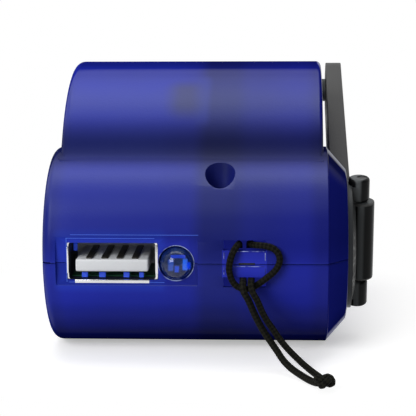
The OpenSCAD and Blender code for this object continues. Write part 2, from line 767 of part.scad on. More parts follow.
// Route of the other strand, from behind the bridge to the same knot.
TAIL_ROUTE = [[8, -24.8, 15.5], [8.2, -24.8, 14.6], [8.5, -25.2, 13.5], [8.6, -26, 12.7],
    [8.7, -27.2, 12.4], [8.7, -28.2, 12.6], [8.7, -29.1, 13.2], [8.7, -30.2, 13.3],
    [8.7, -31.1, 12.9], [8.9, -31.6, 12], [9.6, -31.6, 10.7], [10.3, -31.5, 9],
    [11.1, -31.4, 7.3], [12, -31.4, 5.7], [12.9, -31.6, 4.4], [13.8, -32.1, 3.2],
    [14.8, -33.2, 2], [16, -34.7, 1.2], [17.3, -36.5, 0.8], [18.5, -38.3, 0.6],
    [19.5, -40, 0.7], [20.2, -41.1, 1]];
KNOT_AT = [20.7, -42.1, 1.6];

module lanyard_loop() color([0.05, 0.05, 0.06]) {
    cord(LOOP_ROUTE, cord_r);
}

module lanyard_tail() color([0.05, 0.05, 0.06]) {
    cord(TAIL_ROUTE, cord_r);
}

module lanyard_knot() color([0.05, 0.05, 0.06]) {
    translate(KNOT_AT) sphere(1.6, $fn = 32);
}

upper_shell();
lower_shell();
case_screws();
bulkhead();
gear_plate_inner();
gear_plate_outer();
gear_pillars();
gearbox_screws();
boss_bush();
plate_bush();
crank_shaft();
drive_gear();
compound_axle();
compound_gear();
generator_can();
generator_cap();
stator_coils();
generator_bushes();
rotor_magnet();
rotor_shaft();
rotor_pinion();
circuit_board();
usb_shell();
usb_tongue();
usb_contacts();
indicator_led();
led_leads();
capacitor();
inductor();
rectifier_diodes();
regulator_chip();
generator_wires();
crank_hub();
shaft_clip();
hinge_pin();
crank_arm();
knob_axle();
crank_knob();
knob_clip();
lanyard_loop();
lanyard_tail();
lanyard_knot();
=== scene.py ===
# %% [markdown]
# # A hand crank phone charger
# The case is two blue see-through halves. A folding crank turns a small generator through
# gears, and a USB socket, a lamp and a wrist lanyard sit in the front. The frame below
# holds the mechanical parts at their real size, and this lesson dresses them. PART_Z is the
# height of the parting line and BRIDGE_X the place of the lanyard bridge, in millimetres.

# %% Start from the fixed frame
import math

import bpy
from mathutils import Matrix, Vector


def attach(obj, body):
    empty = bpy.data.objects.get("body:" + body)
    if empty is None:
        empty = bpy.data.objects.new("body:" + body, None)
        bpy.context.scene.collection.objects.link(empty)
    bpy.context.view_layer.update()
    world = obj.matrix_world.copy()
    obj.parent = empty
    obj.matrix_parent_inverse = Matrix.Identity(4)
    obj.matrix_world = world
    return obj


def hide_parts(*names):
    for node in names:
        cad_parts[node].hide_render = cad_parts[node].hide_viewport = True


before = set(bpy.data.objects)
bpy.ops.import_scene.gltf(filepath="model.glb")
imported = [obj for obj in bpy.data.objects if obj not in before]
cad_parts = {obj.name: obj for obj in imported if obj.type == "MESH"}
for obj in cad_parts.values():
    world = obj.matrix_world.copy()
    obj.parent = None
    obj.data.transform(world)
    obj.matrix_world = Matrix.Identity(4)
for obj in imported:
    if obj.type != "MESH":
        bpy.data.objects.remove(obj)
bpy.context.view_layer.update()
MM = 0.001
PART_Z = 15.6
BRIDGE_X = 8.9

# %% [markdown]
# The camera and the cord come first. The lens is long, so the case keeps nearly parallel
# sides, and the camera stands a little above and to the right of the socket.

# %% Camera
CAMERA_AT = (14.6, -241.5, 63.8)
CAMERA_YAW = math.radians(3.0)
CAMERA_PITCH = math.radians(10.51)
CAMERA_ROLL = -0.0065
LENS = 125.05


def place_camera():
    sin_y, cos_y = math.sin(CAMERA_YAW), math.cos(CAMERA_YAW)
    sin_p, cos_p = math.sin(CAMERA_PITCH), math.cos(CAMERA_PITCH)
    ahead = Vector((-sin_y * cos_p, cos_y * cos_p, -sin_p))
    right = Vector((cos_y, sin_y, 0))
    up = right.cross(ahead)
    side = right * math.cos(CAMERA_ROLL) + up * math.sin(CAMERA_ROLL)
    top = up * math.cos(CAMERA_ROLL) - right * math.sin(CAMERA_ROLL)
    turn = Matrix((side, top, -ahead)).transposed().to_4x4()
    bpy.ops.object.camera_add()
    camera = bpy.context.object
    camera.name = "camera"
    camera.matrix_world = Matrix.Translation(Vector(CAMERA_AT) * MM) @ turn
    camera.data.lens = LENS
    camera.data.clip_start = 0.01
    bpy.context.scene.camera = camera


place_camera()
print("camera at", CAMERA_AT, "mm, lens", LENS)

# %% [markdown]
# Small helpers keep every later cell short: one leaves a single object selected, one applies
# a modifier, one cuts with another mesh, and one names a piece and lets it ride on its body.

# %% Helpers for meshes


def only(piece):
    bpy.ops.object.select_all(action="DESELECT")
    piece.select_set(True)
    bpy.context.view_layer.objects.active = piece


def apply(piece, kind, **settings):
    only(piece)
    modifier = piece.modifiers.new(kind.lower(), kind)
    for key, value in settings.items():
        setattr(modifier, key, value)
    bpy.ops.object.modifier_apply(modifier=modifier.name)


def combine(piece, other, operation):
    apply(piece, "BOOLEAN", object=other, operation=operation, solver="MANIFOLD")
    bpy.data.objects.remove(other, do_unlink=True)


def settle(piece):
    only(piece)
    bpy.ops.object.transform_apply(location=True, rotation=True, scale=True)


def tidy_mesh(piece, distance=1e-6):
    only(piece)
    bpy.ops.object.mode_set(mode="EDIT")
    bpy.ops.mesh.select_all(action="SELECT")
    bpy.ops.mesh.remove_doubles(threshold=distance)
    bpy.ops.mesh.normals_make_consistent(inside=False)
    bpy.ops.object.mode_set(mode="OBJECT")


def smooth(piece, degrees=32):
    only(piece)
    bpy.ops.object.shade_smooth_by_angle(angle=math.radians(degrees))


def finish_piece(piece, name, body, material, replaces=()):
    piece.name = name
    piece.data.name = name
    if len(piece.data.materials) < 2:
        piece.data.materials.clear()
        piece.data.materials.append(material)
    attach(piece, body)
    if replaces:
        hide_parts(*replaces)
    print(name, "with", len(piece.data.polygons), "faces rides on", body)
    return piece


def mesh_piece(name, points, faces, edges=()):
    mesh = bpy.data.meshes.new(name)
    mesh.from_pydata([Vector(p) * MM for p in points], list(edges), faces)
    piece = bpy.data.objects.new(name, mesh)
    bpy.context.collection.objects.link(piece)
    only(piece)
    return piece


def box(low, high, bevel=0.0, segments=3):
    middle = [(a + b) / 2 * MM for a, b in zip(low, high)]
    bpy.ops.mesh.primitive_cube_add(size=1, location=middle)
    piece = bpy.context.object
    piece.scale = [(b - a) * MM for a, b in zip(low, high)]
    settle(piece)
    if bevel:
        apply(piece, "BEVEL", width=bevel * MM, segments=segments, limit_method="ANGLE")
    return piece


def rod(radius, start, end, sides=64):
    start, end = Vector(start), Vector(end)
    bpy.ops.mesh.primitive_cylinder_add(
        vertices=sides, radius=radius * MM, depth=(end - start).length * MM,
        location=(start + end) / 2 * MM)
    piece = bpy.context.object
    piece.rotation_mode = "QUATERNION"
    piece.rotation_quaternion = (end - start).to_track_quat("Z", "Y")
    settle(piece)
    return piece


def joined(pieces):
    only(pieces[0])
    for piece in pieces:
        piece.select_set(True)
    bpy.ops.object.join()
    return bpy.context.object


# %% [markdown]
# Turned parts are spun from a half profile, as on a lathe. The profile is a list of
# (distance from the axis, place along the axis) and the axis can point anywhere.

# %% Lathe


def turned(profile, at, direction=(1, 0, 0), steps=96):
    at, direction = Vector(at), Vector(direction).normalized()
    out = direction.orthogonal().normalized()
    points = [at + out * r + direction * x for r, x in profile]
    edges = [(i, i + 1) for i in range(len(points) - 1)]
    piece = mesh_piece("turned", points, [], edges)
    bpy.ops.object.mode_set(mode="EDIT")
    bpy.ops.mesh.select_all(action="SELECT")
    bpy.ops.mesh.spin(steps=steps, angle=2 * math.pi, center=at * MM, axis=direction)
    bpy.ops.object.mode_set(mode="OBJECT")
    tidy_mesh(piece, 2e-6)
    return piece


def arc(cx, cy, radius, start, end, count):
    turns = [math.radians(start + (end - start) * i / count) for i in range(count + 1)]
    return [(cx + radius * math.cos(t), cy + radius * math.sin(t)) for t in turns]


# %% [markdown]
# Every finish is made of nodes that read Object coordinates. A soft noise varies the colour
# and the gloss a little, and a fine one gives the bump of moulded plastic or brushed metal.

# %% Materials


def ranged(tree, value, source, target=(0, 1)):
    node = tree.nodes.new("ShaderNodeMapRange")
    node.inputs["From Min"].default_value, node.inputs["From Max"].default_value = source
    node.inputs["To Min"].default_value, node.inputs["To Max"].default_value = target
    tree.links.new(value, node.inputs["Value"])
    return node.outputs["Result"]


def math_node(tree, operation, *values):
    node = tree.nodes.new("ShaderNodeMath")
    node.operation = operation
    for socket, value in zip(node.inputs, values):
        if isinstance(value, (int, float)):
            socket.default_value = value
        else:
            tree.links.new(value, socket)
    return node.outputs["Value"]


def node_material(name, color, roughness, metallic=0.0, vary=0.12, blotch=120.0,
                  grain=0.0, grain_scale=2500.0, stretch=(1, 1, 1), **sockets):
    material = bpy.data.materials.new(name)
    material.use_nodes = True
    nodes, links = material.node_tree.nodes, material.node_tree.links
    shader = nodes["Principled BSDF"]
    shader.inputs["Metallic"].default_value = metallic
    for key, value in sockets.items():
        shader.inputs[key.replace("_", " ")].default_value = value
    place = nodes.new("ShaderNodeTexCoord")
    mapping = nodes.new("ShaderNodeMapping")
    mapping.inputs["Scale"].default_value = stretch
    links.new(place.outputs["Object"], mapping.inputs["Vector"])
    cloud = nodes.new("ShaderNodeTexNoise")
    cloud.inputs["Scale"].default_value = blotch
    cloud.inputs["Detail"].default_value = 4
    links.new(mapping.outputs["Vector"], cloud.inputs["Vector"])
    shade = nodes.new("ShaderNodeValToRGB")
    shade.color_ramp.elements[0].position = 0.3
    shade.color_ramp.elements[1].position = 0.7
    shade.color_ramp.elements[0].color = [c * (1 - vary) for c in color] + [1]
    shade.color_ramp.elements[1].color = [min(1, c * (1 + vary)) for c in color] + [1]
    links.new(cloud.outputs["Fac"], shade.inputs["Fac"])
    links.new(shade.outputs["Color"], shader.inputs["Base Color"])
    gloss = ranged(material.node_tree, cloud.outputs["Fac"], (0, 1),
                   (roughness * 0.85, min(1, roughness * 1.15)))
    links.new(gloss, shader.inputs["Roughness"])
    if grain:
        fine = nodes.new("ShaderNodeTexNoise")
        fine.inputs["Scale"].default_value = grain_scale
        fine.inputs["Detail"].default_value = 2
        links.new(mapping.outputs["Vector"], fine.inputs["Vector"])
        bump = nodes.new("ShaderNodeBump")
        bump.inputs["Strength"].default_value = grain
        bump.inputs["Distance"].default_value = 0.0001
        links.new(fine.outputs["Fac"], bump.inputs["Height"])
        links.new(bump.outputs["Normal"], shader.inputs["Normal"])
    return material


# %% [markdown]
# The case is moulded in tinted plastic that light soaks into. Over the dark divider and the
# machinery on the right it looks greyer, so its colour follows X through soft steps, and at
# the far left it darkens as painted shade. Soft boxes add painted light round the socket, on
# the lanyard bar and on the tail's top, the shades of things that show through the tail and
# painted shade in the valley between the drums, and the dish behind the bar glows faintly.
# The colour also carries painted light and shade by the way a surface faces, deeper up or
# down, and the gloss fades toward the sides and the outline. Painting this is steadier than
# light scattered through a thin wall, but it doesn't follow the lamps.

# %% Tinted case plastic
# where across the case, in mm, and the colour there; BAND is half the width it covers;
# at the far left the colour darkens as painted shade along the left rim
BAND = 26
ACROSS = ((-22, 0.016, 0.026, 0.26), (-20.7, 0.017, 0.027, 0.36), (-18.5, 0.018, 0.03, 0.46),
          (-6, 0.018, 0.03, 0.44), (0, 0.018, 0.028, 0.4),
          (3, 0.015, 0.022, 0.24), (6.5, 0.015, 0.022, 0.25), (10, 0.016, 0.024, 0.33),
          (18, 0.016, 0.024, 0.39), (20.5, 0.014, 0.02, 0.3), (25, 0.01, 0.016, 0.24))
# centre, half size and softness in mm, then the tint and how strongly it shows: painted
# light round the socket, on the lanyard bar and on the tail's top, then two tones of the
# parts that show through the tail
TINTS = (((-11.6, -28, 15.9), (7.6, 1.5, 3.9), 1.5, (0.03, 0.09, 0.75), 0.25),
         ((8.9, -28, 15.6), (3.3, 0.8, 2.1), 0.15, (0.035, 0.05, 0.7), 0.7),
         ((-10, -4, 42), (7, 6, 5), 6, (0.02, 0.036, 0.52), 0.6),
         ((1.7, -9, 38), (0.3, 4, 3), 1.6, (0.03, 0.045, 0.42), 0.6),
         ((-1.1, -10, 39), (0.5, 2, 1), 3.5, (0.05, 0.05, 0.1), 0.6))
# painted light and shade in the colour, and the gloss, by facing: 0 is straight down, 0.5
# is level and 1 is straight up
SHADE_BY_FACING = ((0, 0.4), (0.1, 0.5), (0.16, 0.72), (0.23, 0.85), (0.31, 1.08), (0.45, 1.0),
         (0.6, 0.66), (0.71, 0.64), (0.88, 0.68), (0.94, 0.78), (0.98, 0.66), (1, 0.42))
SHEEN = ((0, 0.01), (0.14, 0.01), (0.25, 0.08), (0.4, 0.16), (0.6, 0.08), (0.7, 0.13),
         (0.8, 0.46), (0.88, 0.42), (0.955, 0.26), (1, 0.22))
# gloss is lost on faces turned to the crank side, and toward the outline, but not on a rim
TO_SIDE = ((0, 1), (0.2, 1), (0.5, 0), (1, 0))
TO_OUTLINE = ((0, 1), (0.5, 1), (0.6, 0.62), (0.69, 0), (1, 0))
BRIM = ((0, 0), (0.8, 0), (0.93, 1), (1, 1))


def value_ramp(material, value, stops):
    node = material.node_tree.nodes.new("ShaderNodeValToRGB")
    elements = node.color_ramp.elements
    node.color_ramp.interpolation = "EASE"
    elements[0].position, elements[0].color = stops[0][0], (*stops[0][1], 1)
    elements[1].position, elements[1].color = stops[-1][0], (*stops[-1][1], 1)
    for at, color in stops[1:-1]:
        elements.new(at).color = (*color, 1)
    material.node_tree.links.new(value, node.inputs["Fac"])
    return node.outputs["Color"]


def grey_ramp(material, value, stops):
    return value_ramp(material, value, [(at, (v, v, v)) for at, v in stops])


def soft_box(material, place, centre, half_size, soft):
    nodes, links = material.node_tree.nodes, material.node_tree.links
    last = place
    for operation, vector in (("SUBTRACT", centre), ("ABSOLUTE", None),
                              ("SUBTRACT", half_size), ("MAXIMUM", (0, 0, 0))):
        node = nodes.new("ShaderNodeVectorMath")
        node.operation = operation
        links.new(last, node.inputs[0])
        if vector:
            node.inputs[1].default_value = [v * MM for v in vector]
        last = node.outputs["Vector"]
    far = nodes.new("ShaderNodeVectorMath")
    far.operation = "LENGTH"
    links.new(last, far.inputs[0])
    fade = nodes.new("ShaderNodeMapRange")
    fade.interpolation_type = "SMOOTHSTEP"
    fade.inputs["From Max"].default_value = soft * MM
    fade.inputs["To Min"].default_value = 1
    fade.inputs["To Max"].default_value = 0
    links.new(far.outputs["Value"], fade.inputs["Value"])
    return fade.outputs["Result"]


def blend(material, kind, factor, a, b):
    nodes, links = material.node_tree.nodes, material.node_tree.links
    mix = nodes.new("ShaderNodeMix")
    mix.data_type = "RGBA"
    mix.blend_type = kind
    for name, value in (("Factor", factor), ("A", a), ("B", b)):
        socket = next(i for i in mix.inputs if i.name == name and
                      i.type == ("VALUE" if name == "Factor" else "RGBA"))
        if isinstance(value, (int, float)):
            socket.default_value = value
        elif isinstance(value, tuple):
            socket.default_value = (*value, 1)
        else:
            links.new(value, socket)
    return next(o for o in mix.outputs if o.type == "RGBA")


def facing(material):
    # the X and Z of the normal: how far a surface turns to the crank side, and upward
    nodes, links = material.node_tree.nodes, material.node_tree.links
    parts = nodes.new("ShaderNodeSeparateXYZ")
    links.new(nodes.new("ShaderNodeNewGeometry").outputs["Normal"], parts.inputs["Vector"])
    return parts.outputs["X"], parts.outputs["Z"]


def case_plastic(name):
    material = node_material(name, (1, 1, 1), 0.38, vary=0.1, blotch=60,
                             grain=0.2, grain_scale=3600, Specular_IOR_Level=0.3)
    tree = material.node_tree
    nodes, links = tree.nodes, tree.links
    shader = nodes["Principled BSDF"]
    cloud = shader.inputs["Base Color"].links[0].from_socket
    place = next(n for n in nodes if n.bl_idname == "ShaderNodeTexCoord").outputs["Object"]
    split = nodes.new("ShaderNodeSeparateXYZ")
    links.new(place, split.inputs["Vector"])
    band = ranged(tree, split.outputs["X"], (-BAND * MM, BAND * MM))
    color = value_ramp(material, band, [(x / (2 * BAND) + 0.5, rgb) for x, *rgb in ACROSS])
    for centre, half_size, soft, tint, strength in TINTS:
        mask = soft_box(material, place, centre, half_size, soft)
        color = blend(material, "MIX", math_node(tree, "MULTIPLY", mask, strength), color, tint)
    # painted shade: the valley between the drums is darkened and loses its gloss
    painted_valley_shade = soft_box(material, place, (0, -15.8, 30.8), (40, 1.2, 1), 5.5)
    color = blend(material, "MULTIPLY", painted_valley_shade, color, (0.9, 0.78, 0.36))
    color = blend(material, "MULTIPLY", 1.0, color, cloud)
    to_crank, upward = facing(material)
    height = ranged(tree, upward, (-1, 1))
    # painted light and shade: the colour is graded by the way the surface faces
    color = blend(material, "MULTIPLY", 1.0, color, grey_ramp(material, height, SHADE_BY_FACING))
    links.new(color, shader.inputs["Base Color"])
    side = grey_ramp(material, to_crank, TO_SIDE)
    sheen = blend(material, "MULTIPLY", 1.0, grey_ramp(material, height, SHEEN), side)
    sheen = blend(material, "MIX", painted_valley_shade, sheen, (0.05, 0.05, 0.05))
    outline = nodes.new("ShaderNodeLayerWeight").outputs["Facing"]
    sheen = blend(material, "MULTIPLY", 1.0, sheen, grey_ramp(material, outline, TO_OUTLINE))
    brim = grey_ramp(material, outline, BRIM)
    sheen = blend(material, "ADD", 1.0, sheen, blend(material, "MIX", side, brim, (0, 0, 0)))
    links.new(sheen, shader.inputs["Specular IOR Level"])
    # painted light: the lanyard dish glows faintly blue
    dish = soft_box(material, place, (BRIDGE_X, -25.3, PART_Z), (3.25, 2, 4.6), 0.2)
    links.new(blend(material, "MIX", dish, (0, 0, 0), (0.01, 0.014, 0.17)),
              shader.inputs["Emission Color"])
    shader.inputs["Emission Strength"].default_value = 0.6
    shader.inputs["Specular Tint"].default_value = (0.85, 0.97, 1, 1)
    return material


blue = case_plastic("tinted_blue_plastic")
print("case plastic with", len(blue.node_tree.nodes), "nodes")

# %% [markdown]
# The hub, the hinge barrel and the grip are gloss black. On the real ones a pale streak runs
# along the front left of each round form. The room here is too plain to reflect one, so the
# streak is a painted highlight, placed by the way the surface faces. The braid's threads are a
# turned checker.

# %% Other finishes
# painted highlight by facing the crank side, where 0 is away from it and 1 toward it, and
# the grey there
PAINTED_HIGHLIGHTS = ((0, 0.006), (0.28, 0.008), (0.39, 0.11), (0.5, 0.1), (0.64, 0.008), (0.88, 0.006),
           (0.96, 0.06), (1, 0.03))


def black_with_painted_highlight(name):
    material = node_material(name, (0.01, 0.012, 0.012), 0.25, grain=0.05)
    shader = material.node_tree.nodes["Principled BSDF"]
    across = ranged(material.node_tree, facing(material)[0], (-1, 1))
    # the painted highlight goes into the base colour
    color = value_ramp(material, across, [(x, (v * 0.92, v, v * 1.04)) for x, v in PAINTED_HIGHLIGHTS])
    material.node_tree.links.new(color, shader.inputs["Base Color"])
    shader.inputs["Specular IOR Level"].default_value = 0.08
    return material


# lighter blue for bevelled edges and the panel strips: a painted highlight
blue_edge_highlight = node_material("painted_highlight_blue", (0.06, 0.16, 0.8), 0.35)
black_gloss = black_with_painted_highlight("black_gloss_plastic")
arm_grey = node_material("matte_grey_plastic", (0.055, 0.055, 0.055), 0.55, grain=0.2,
                         Specular_IOR_Level=0.3)
# pale patchy blue for thin edge strips, the lamp's rim and its arc: a painted highlight
pale_highlight = node_material("painted_highlight_pale", (0.35, 0.45, 0.75), 0.2, blotch=700)
shade = next(n for n in pale_highlight.node_tree.nodes if n.bl_idname == "ShaderNodeValToRGB")
shade.color_ramp.elements[0].position = 0.45
shade.color_ramp.elements[0].color = (0.02, 0.03, 0.3, 1)
shade.color_ramp.elements[1].position = 0.62
shade.color_ramp.elements[1].color = (0.5, 0.6, 0.9, 1)
black_plastic = node_material("black_plastic", (0.03, 0.03, 0.033), 0.45, grain=0.2)
steel = node_material("drawn_steel", (0.6, 0.6, 0.62), 0.28, 1.0, grain=0.15,
                      stretch=(0.1, 1, 1))
nickel = node_material("nickel_plate", (0.75, 0.75, 0.77), 0.2, 1.0, grain=0.05)
# gold plate darkened nearly to black: painted shade deep in the socket
gold_in_painted_shade = node_material("gold_plate_painted_shade", (0.025, 0.022, 0.018), 0.5, 0.3, vary=0.06)
bronze = node_material("sintered_bronze", (0.5, 0.33, 0.15), 0.4, 1.0, grain=0.3)
copper = node_material("enamelled_copper", (0.6, 0.22, 0.08), 0.3, 0.8, grain=0.4,
                       grain_scale=900, stretch=(0.05, 1, 1))
blackened = node_material("blackened_steel", (0.02, 0.02, 0.022), 0.45, 0.5, grain=0.1)
ferrite = node_material("ferrite", (0.06, 0.06, 0.065), 0.6, grain=0.3)
nylon = node_material("nylon", (0.78, 0.77, 0.7), 0.4, grain=0.1)
white_plastic = node_material("white_plastic", (0.8, 0.82, 0.85), 0.35, vary=0.03, grain=0.1)
board_green = node_material("board_lacquer", (0.02, 0.16, 0.06), 0.3, grain=0.1)
sleeve = node_material("capacitor_sleeve", (0.02, 0.03, 0.12), 0.25)
wire_red = node_material("wire_insulation", (0.4, 0.03, 0.03), 0.45)
cord_black = node_material("braided_cord", (0.012, 0.012, 0.01), 0.7, grain=0.3,
                           grain_scale=6000, Specular_IOR_Level=0.05)
nodes, links = cord_black.node_tree.nodes, cord_black.node_tree.links
along = nodes.new("ShaderNodeUVMap")
along.uv_map = "along"
turn = nodes.new("ShaderNodeMapping")
turn.inputs["Scale"].default_value = (2.4, 8, 1)
turn.inputs["Rotation"].default_value = (0, 0, math.radians(45))
links.new(along.outputs["UV"], turn.inputs["Vector"])
weave = nodes.new("ShaderNodeTexChecker")
weave.inputs["Scale"].default_value = 1.0
weave.inputs["Color1"].default_value = (0.004, 0.004, 0.0035, 1)
weave.inputs["Color2"].default_value = (0.014, 0.014, 0.01, 1)
links.new(turn.outputs["Vector"], weave.inputs["Vector"])
links.new(weave.outputs["Color"], nodes["Principled BSDF"].inputs["Base Color"])
# near black for the socket's deep inner walls and the slit: painted shade
painted_shade_dark = node_material("painted_shade_dark", (0.012, 0.014, 0.03), 0.5)
# blue plastic that glows where it shows through the socket: painted light
glow_blue = node_material("lit_blue_plastic", (0.03, 0.09, 0.7), 0.4,
                          Emission_Color=(0.01, 0.06, 0.7, 1), Emission_Strength=0.25)
# very dark blue for the lamp's cup, with patches of painted light and a glow
lamp_cup_glow = node_material("lamp_cup_painted_light", (0.001, 0.004, 0.04), 0.3)
print("materials", len(bpy.data.materials))

# %% [markdown]
# The lanyard is a braided cord 1.1 mm thick, doubled and hitched round the bridge. Its route
# is a list of places, and a smooth curve passes through them.

# %% Cord route
CORD_D = 1.1
LOOP_ROUTE = [
    (8, -24.8, 15.6), (8, -24.9, 16.6), (8, -25.2, 17.6), (8, -26, 18.2), (8, -27.1, 18.4),
    (7.8, -28.2, 18.4), (7.3, -29.1, 17.8), (6.8, -29.3, 16.5), (6.6, -29.3, 15),
    (6.9, -29.3, 13.6), (7.6, -29.3, 12.5), (8.7, -29.3, 12), (9.9, -29.3, 12.1),
    (11.1, -29.3, 12.8), (12.4, -29.3, 13.8), (13.6, -29.3, 14.9), (14.2, -29.3, 16.2),
    (14, -29.2, 17.4), (13.2, -29.1, 18.2), (12.1, -28.8, 18.5), (11, -28.3, 18.5),
    (10.2, -27.4, 18.4), (9.7, -26.3, 18.4), (9.6, -25.2, 17.8), (9.6, -24.9, 16.7),
    (9.6, -24.8, 15.6), (9.7, -24.8, 14.6), (9.8, -25.2, 13.5), (9.9, -26, 12.7),
    (9.9, -27.2, 12.4), (9.9, -28.2, 12.6), (9.9, -29.1, 13.2), (9.9, -30.2, 13.3),
    (9.9, -31.1, 12.9), (10.2, -31.6, 12), (10.9, -31.6, 10.7), (11.6, -31.5, 9),
    (12.4, -31.4, 7.5), (13.3, -31.4, 6.2), (14.1, -31.5, 5), (15.2, -31.6, 3.6),
    (16.5, -31.9, 2.3), (17.9, -32.8, 1.2), (19.1, -34.6, 0.7), (20, -36.6, 0.6),
    (20.6, -38.7, 0.7), (20.8, -40.6, 1.1)]
TAIL_ROUTE = [
    (8, -24.8, 15.5), (8.2, -24.8, 14.6), (8.5, -25.2, 13.5), (8.6, -26, 12.7),
    (8.7, -27.2, 12.4), (8.7, -28.2, 12.6), (8.7, -29.1, 13.2), (8.7, -30.2, 13.3),
    (8.7, -31.1, 12.9), (8.9, -31.6, 12), (9.6, -31.6, 10.7), (10.3, -31.5, 9),
    (11.1, -31.4, 7.3), (12, -31.4, 5.7), (12.9, -31.6, 4.4), (13.8, -32.1, 3.2),
    (14.8, -33.2, 2), (16, -34.7, 1.2), (17.3, -36.5, 0.8), (18.5, -38.3, 0.6),
    (19.5, -40, 0.7), (20.2, -41.1, 1)]
KNOT_AT = (20.7, -42.1, 1.6)


def through(route, per_span):
    route = [Vector(p) for p in route]
    ends = [route[0] * 2 - route[1]] + route + [route[-1] * 2 - route[-2]]
    line = []
    for a, b, c, d in zip(ends, ends[1:], ends[2:], ends[3:]):
        for i in range(per_span):
            t = i / per_span
            line.append(0.5 * (b * 2 + (c - a) * t + (a * 2 - b * 5 + c * 4 - d) * t * t
                               + (b * 3 - a - c * 3 + d) * t ** 3))
    return line + [route[-1]]


def even(line, step):
    out, carry = [line[0]], 0.0
    for a, b in zip(line, line[1:]):
        span = (b - a).length
        while carry + span >= step:
            t = (step - carry) / span
            a = a.lerp(b, t)
            out.append(a)
            span = (b - a).length
            carry = 0.0
        carry += span
    return out + [line[-1]] if (line[-1] - out[-1]).length > step * 0.3 else out


# %% [markdown]
# The braid is in the mesh itself: sixteen points a turn move in and out as the two sets of
# strands cross. A UV map runs along and round the cord for the thread pattern.

# %% Braided tube


def braided(name, line, radius, sides=16, lay=0.9, depth=0.07):
    points, faces, uvs = [], [], []
    normal = (line[1] - line[0]).orthogonal().normalized()
    length = 0.0
    for i, p in enumerate(line):
        ahead = (line[min(i + 1, len(line) - 1)] - line[max(i - 1, 0)]).normalized()
        normal = (normal - ahead * normal.dot(ahead)).normalized()
        side = ahead.cross(normal)
        if i:
            length += (p - line[i - 1]).length
        for k in range(sides):
            turn = 2 * math.pi * k / sides
            wave = math.sin(2 * turn + length * 2 * math.pi / lay)
            wave *= math.sin(2 * turn - length * 2 * math.pi / lay)
            r = radius * (1 - depth + depth * wave)
            points.append(p + normal * r * math.cos(turn) + side * r * math.sin(turn))
        uvs.append(length)
    n = sides
    for i in range(len(line) - 1):
        for k in range(n):
            faces.append([i * n + k, i * n + (k + 1) % n, (i + 1) * n + (k + 1) % n,
                          (i + 1) * n + k])
    faces.append(list(range(n - 1, -1, -1)))
    faces.append([(len(line) - 1) * n + k for k in range(n)])
    piece = mesh_piece(name, points, faces)
    layer = piece.data.uv_layers.new(name="along")
    for polygon in piece.data.polygons:
        for corner, vertex in zip(polygon.loop_indices, polygon.vertices):
            layer.data[corner].uv = (uvs[vertex // n], (vertex % n) / n)
    for polygon in piece.data.polygons:
        polygon.use_smooth = len(polygon.vertices) == 4
    return piece


loop_line = even(through(LOOP_ROUTE, 12), 0.1)
tail_line = even(through(TAIL_ROUTE, 12), 0.1)
loop_cord = braided("lanyard_loop_cord", loop_line, CORD_D / 2)
tail_cord = braided("lanyard_tail_cord", tail_line, CORD_D / 2)
finish_piece(loop_cord, "lanyard_loop_cord", "case", cord_black,
             ("lanyard_loop",))
finish_piece(tail_cord, "lanyard_tail_cord", "case", cord_black,
             ("lanyard_tail",))

# %% [markdown]
# Both strands end in one overhand knot. The knot follows a trefoil.

# %% Knot


def trefoil(t):
    return Vector((math.sin(t) + 2 * math.sin(2 * t), math.cos(t) - 2 * math.cos(2 * t),
                   -math.sin(3 * t)))


knot_centre = Vector(KNOT_AT)
knot_line = [knot_centre + trefoil(2 * math.pi * i / 144) * 0.4 for i in range(144)]
knot = braided("knot", knot_line + [knot_line[0]], 0.52)
smooth(knot, 60)
finish_piece(knot, "lanyard_end_knot", "case", cord_black, ("lanyard_knot",))


def length_of(line):
    return sum((b - a).length for a, b in zip(line, line[1:]))


for piece, line in ((loop_cord, loop_line), (tail_cord, tail_line)):
    print(piece.name, round(length_of(line), 1), "mm")

# %% [markdown]
# Sizes of the case, in millimetres. The front drum and the rear drum stand on one base
# plane, and a hollow fillet joins them along the top.

# %% Case sizes
BODY_LEN = 57.0
HALF_W = 21.7
FRONT_R = 15.6
REAR_R = 24.0
REAR_Z = 19.4
FRONT_LEFT = 22.05
TAIL_LEFT = 20.6
TAIL_RIGHT = 21.0
WALL = 1.6
BOSS_H = 3.0
BOSS_R = 11.9
FRONT_Y = -BODY_LEN / 2
HUB = (FRONT_Y + FRONT_R, FRONT_R)
REAR = (BODY_LEN / 2 - REAR_R, REAR_Z)
BOSS_X = HALF_W + BOSS_H
VALLEY_R = 8.0
SCREWS = [(5.0, FRONT_Y + 6.7), (-14.6, 20.5), (14.6, 20.5)]
USB = (-11.3, 16.05)
LED_X = -1.5
LED_Z = PART_Z - 0.15
BRIDGE_H = 4.1
DISH_W = 6.5
DISH_R = 4.5

# %% [markdown]
# The front drum is turned: a rounded left rim, and on the right a cone up to the flat face
# of the crank boss. Rings along its length keep its shading even after holes are cut.

# %% Front drum


def front_drum(inset=0.0):
    radius, x0 = FRONT_R - inset, -FRONT_LEFT + inset
    x1 = HALF_W - (WALL if inset else 0)
    e0, e1, rows = (0.8 if inset else 1.5), 0.25, 12
    rim = [(0, x0)] + arc(radius - e0, x0 + e0, e0, 270, 360, 8)
    rim += [(radius, x0 + e0 + (x1 - x0 - e0 - e1) * i / rows) for i in range(1, rows)]
    rim += arc(radius - e1, x1 - e1, e1, 0, 90, 4)
    cone = [(BOSS_R + 0.35, BOSS_X - 0.28), (BOSS_R + 0.1, BOSS_X - 0.08),
            (BOSS_R - 0.2, BOSS_X), (0, BOSS_X)]
    return turned(rim + ([(0, x1)] if inset else cone), (0, *HUB), steps=240)


# %% [markdown]
# The tail is one outline carried along X. Its outline is the rear circle, the hollow fillet
# that meets the front drum, and the flat base. Inset copies of the outline round its rims.

# %% Tail


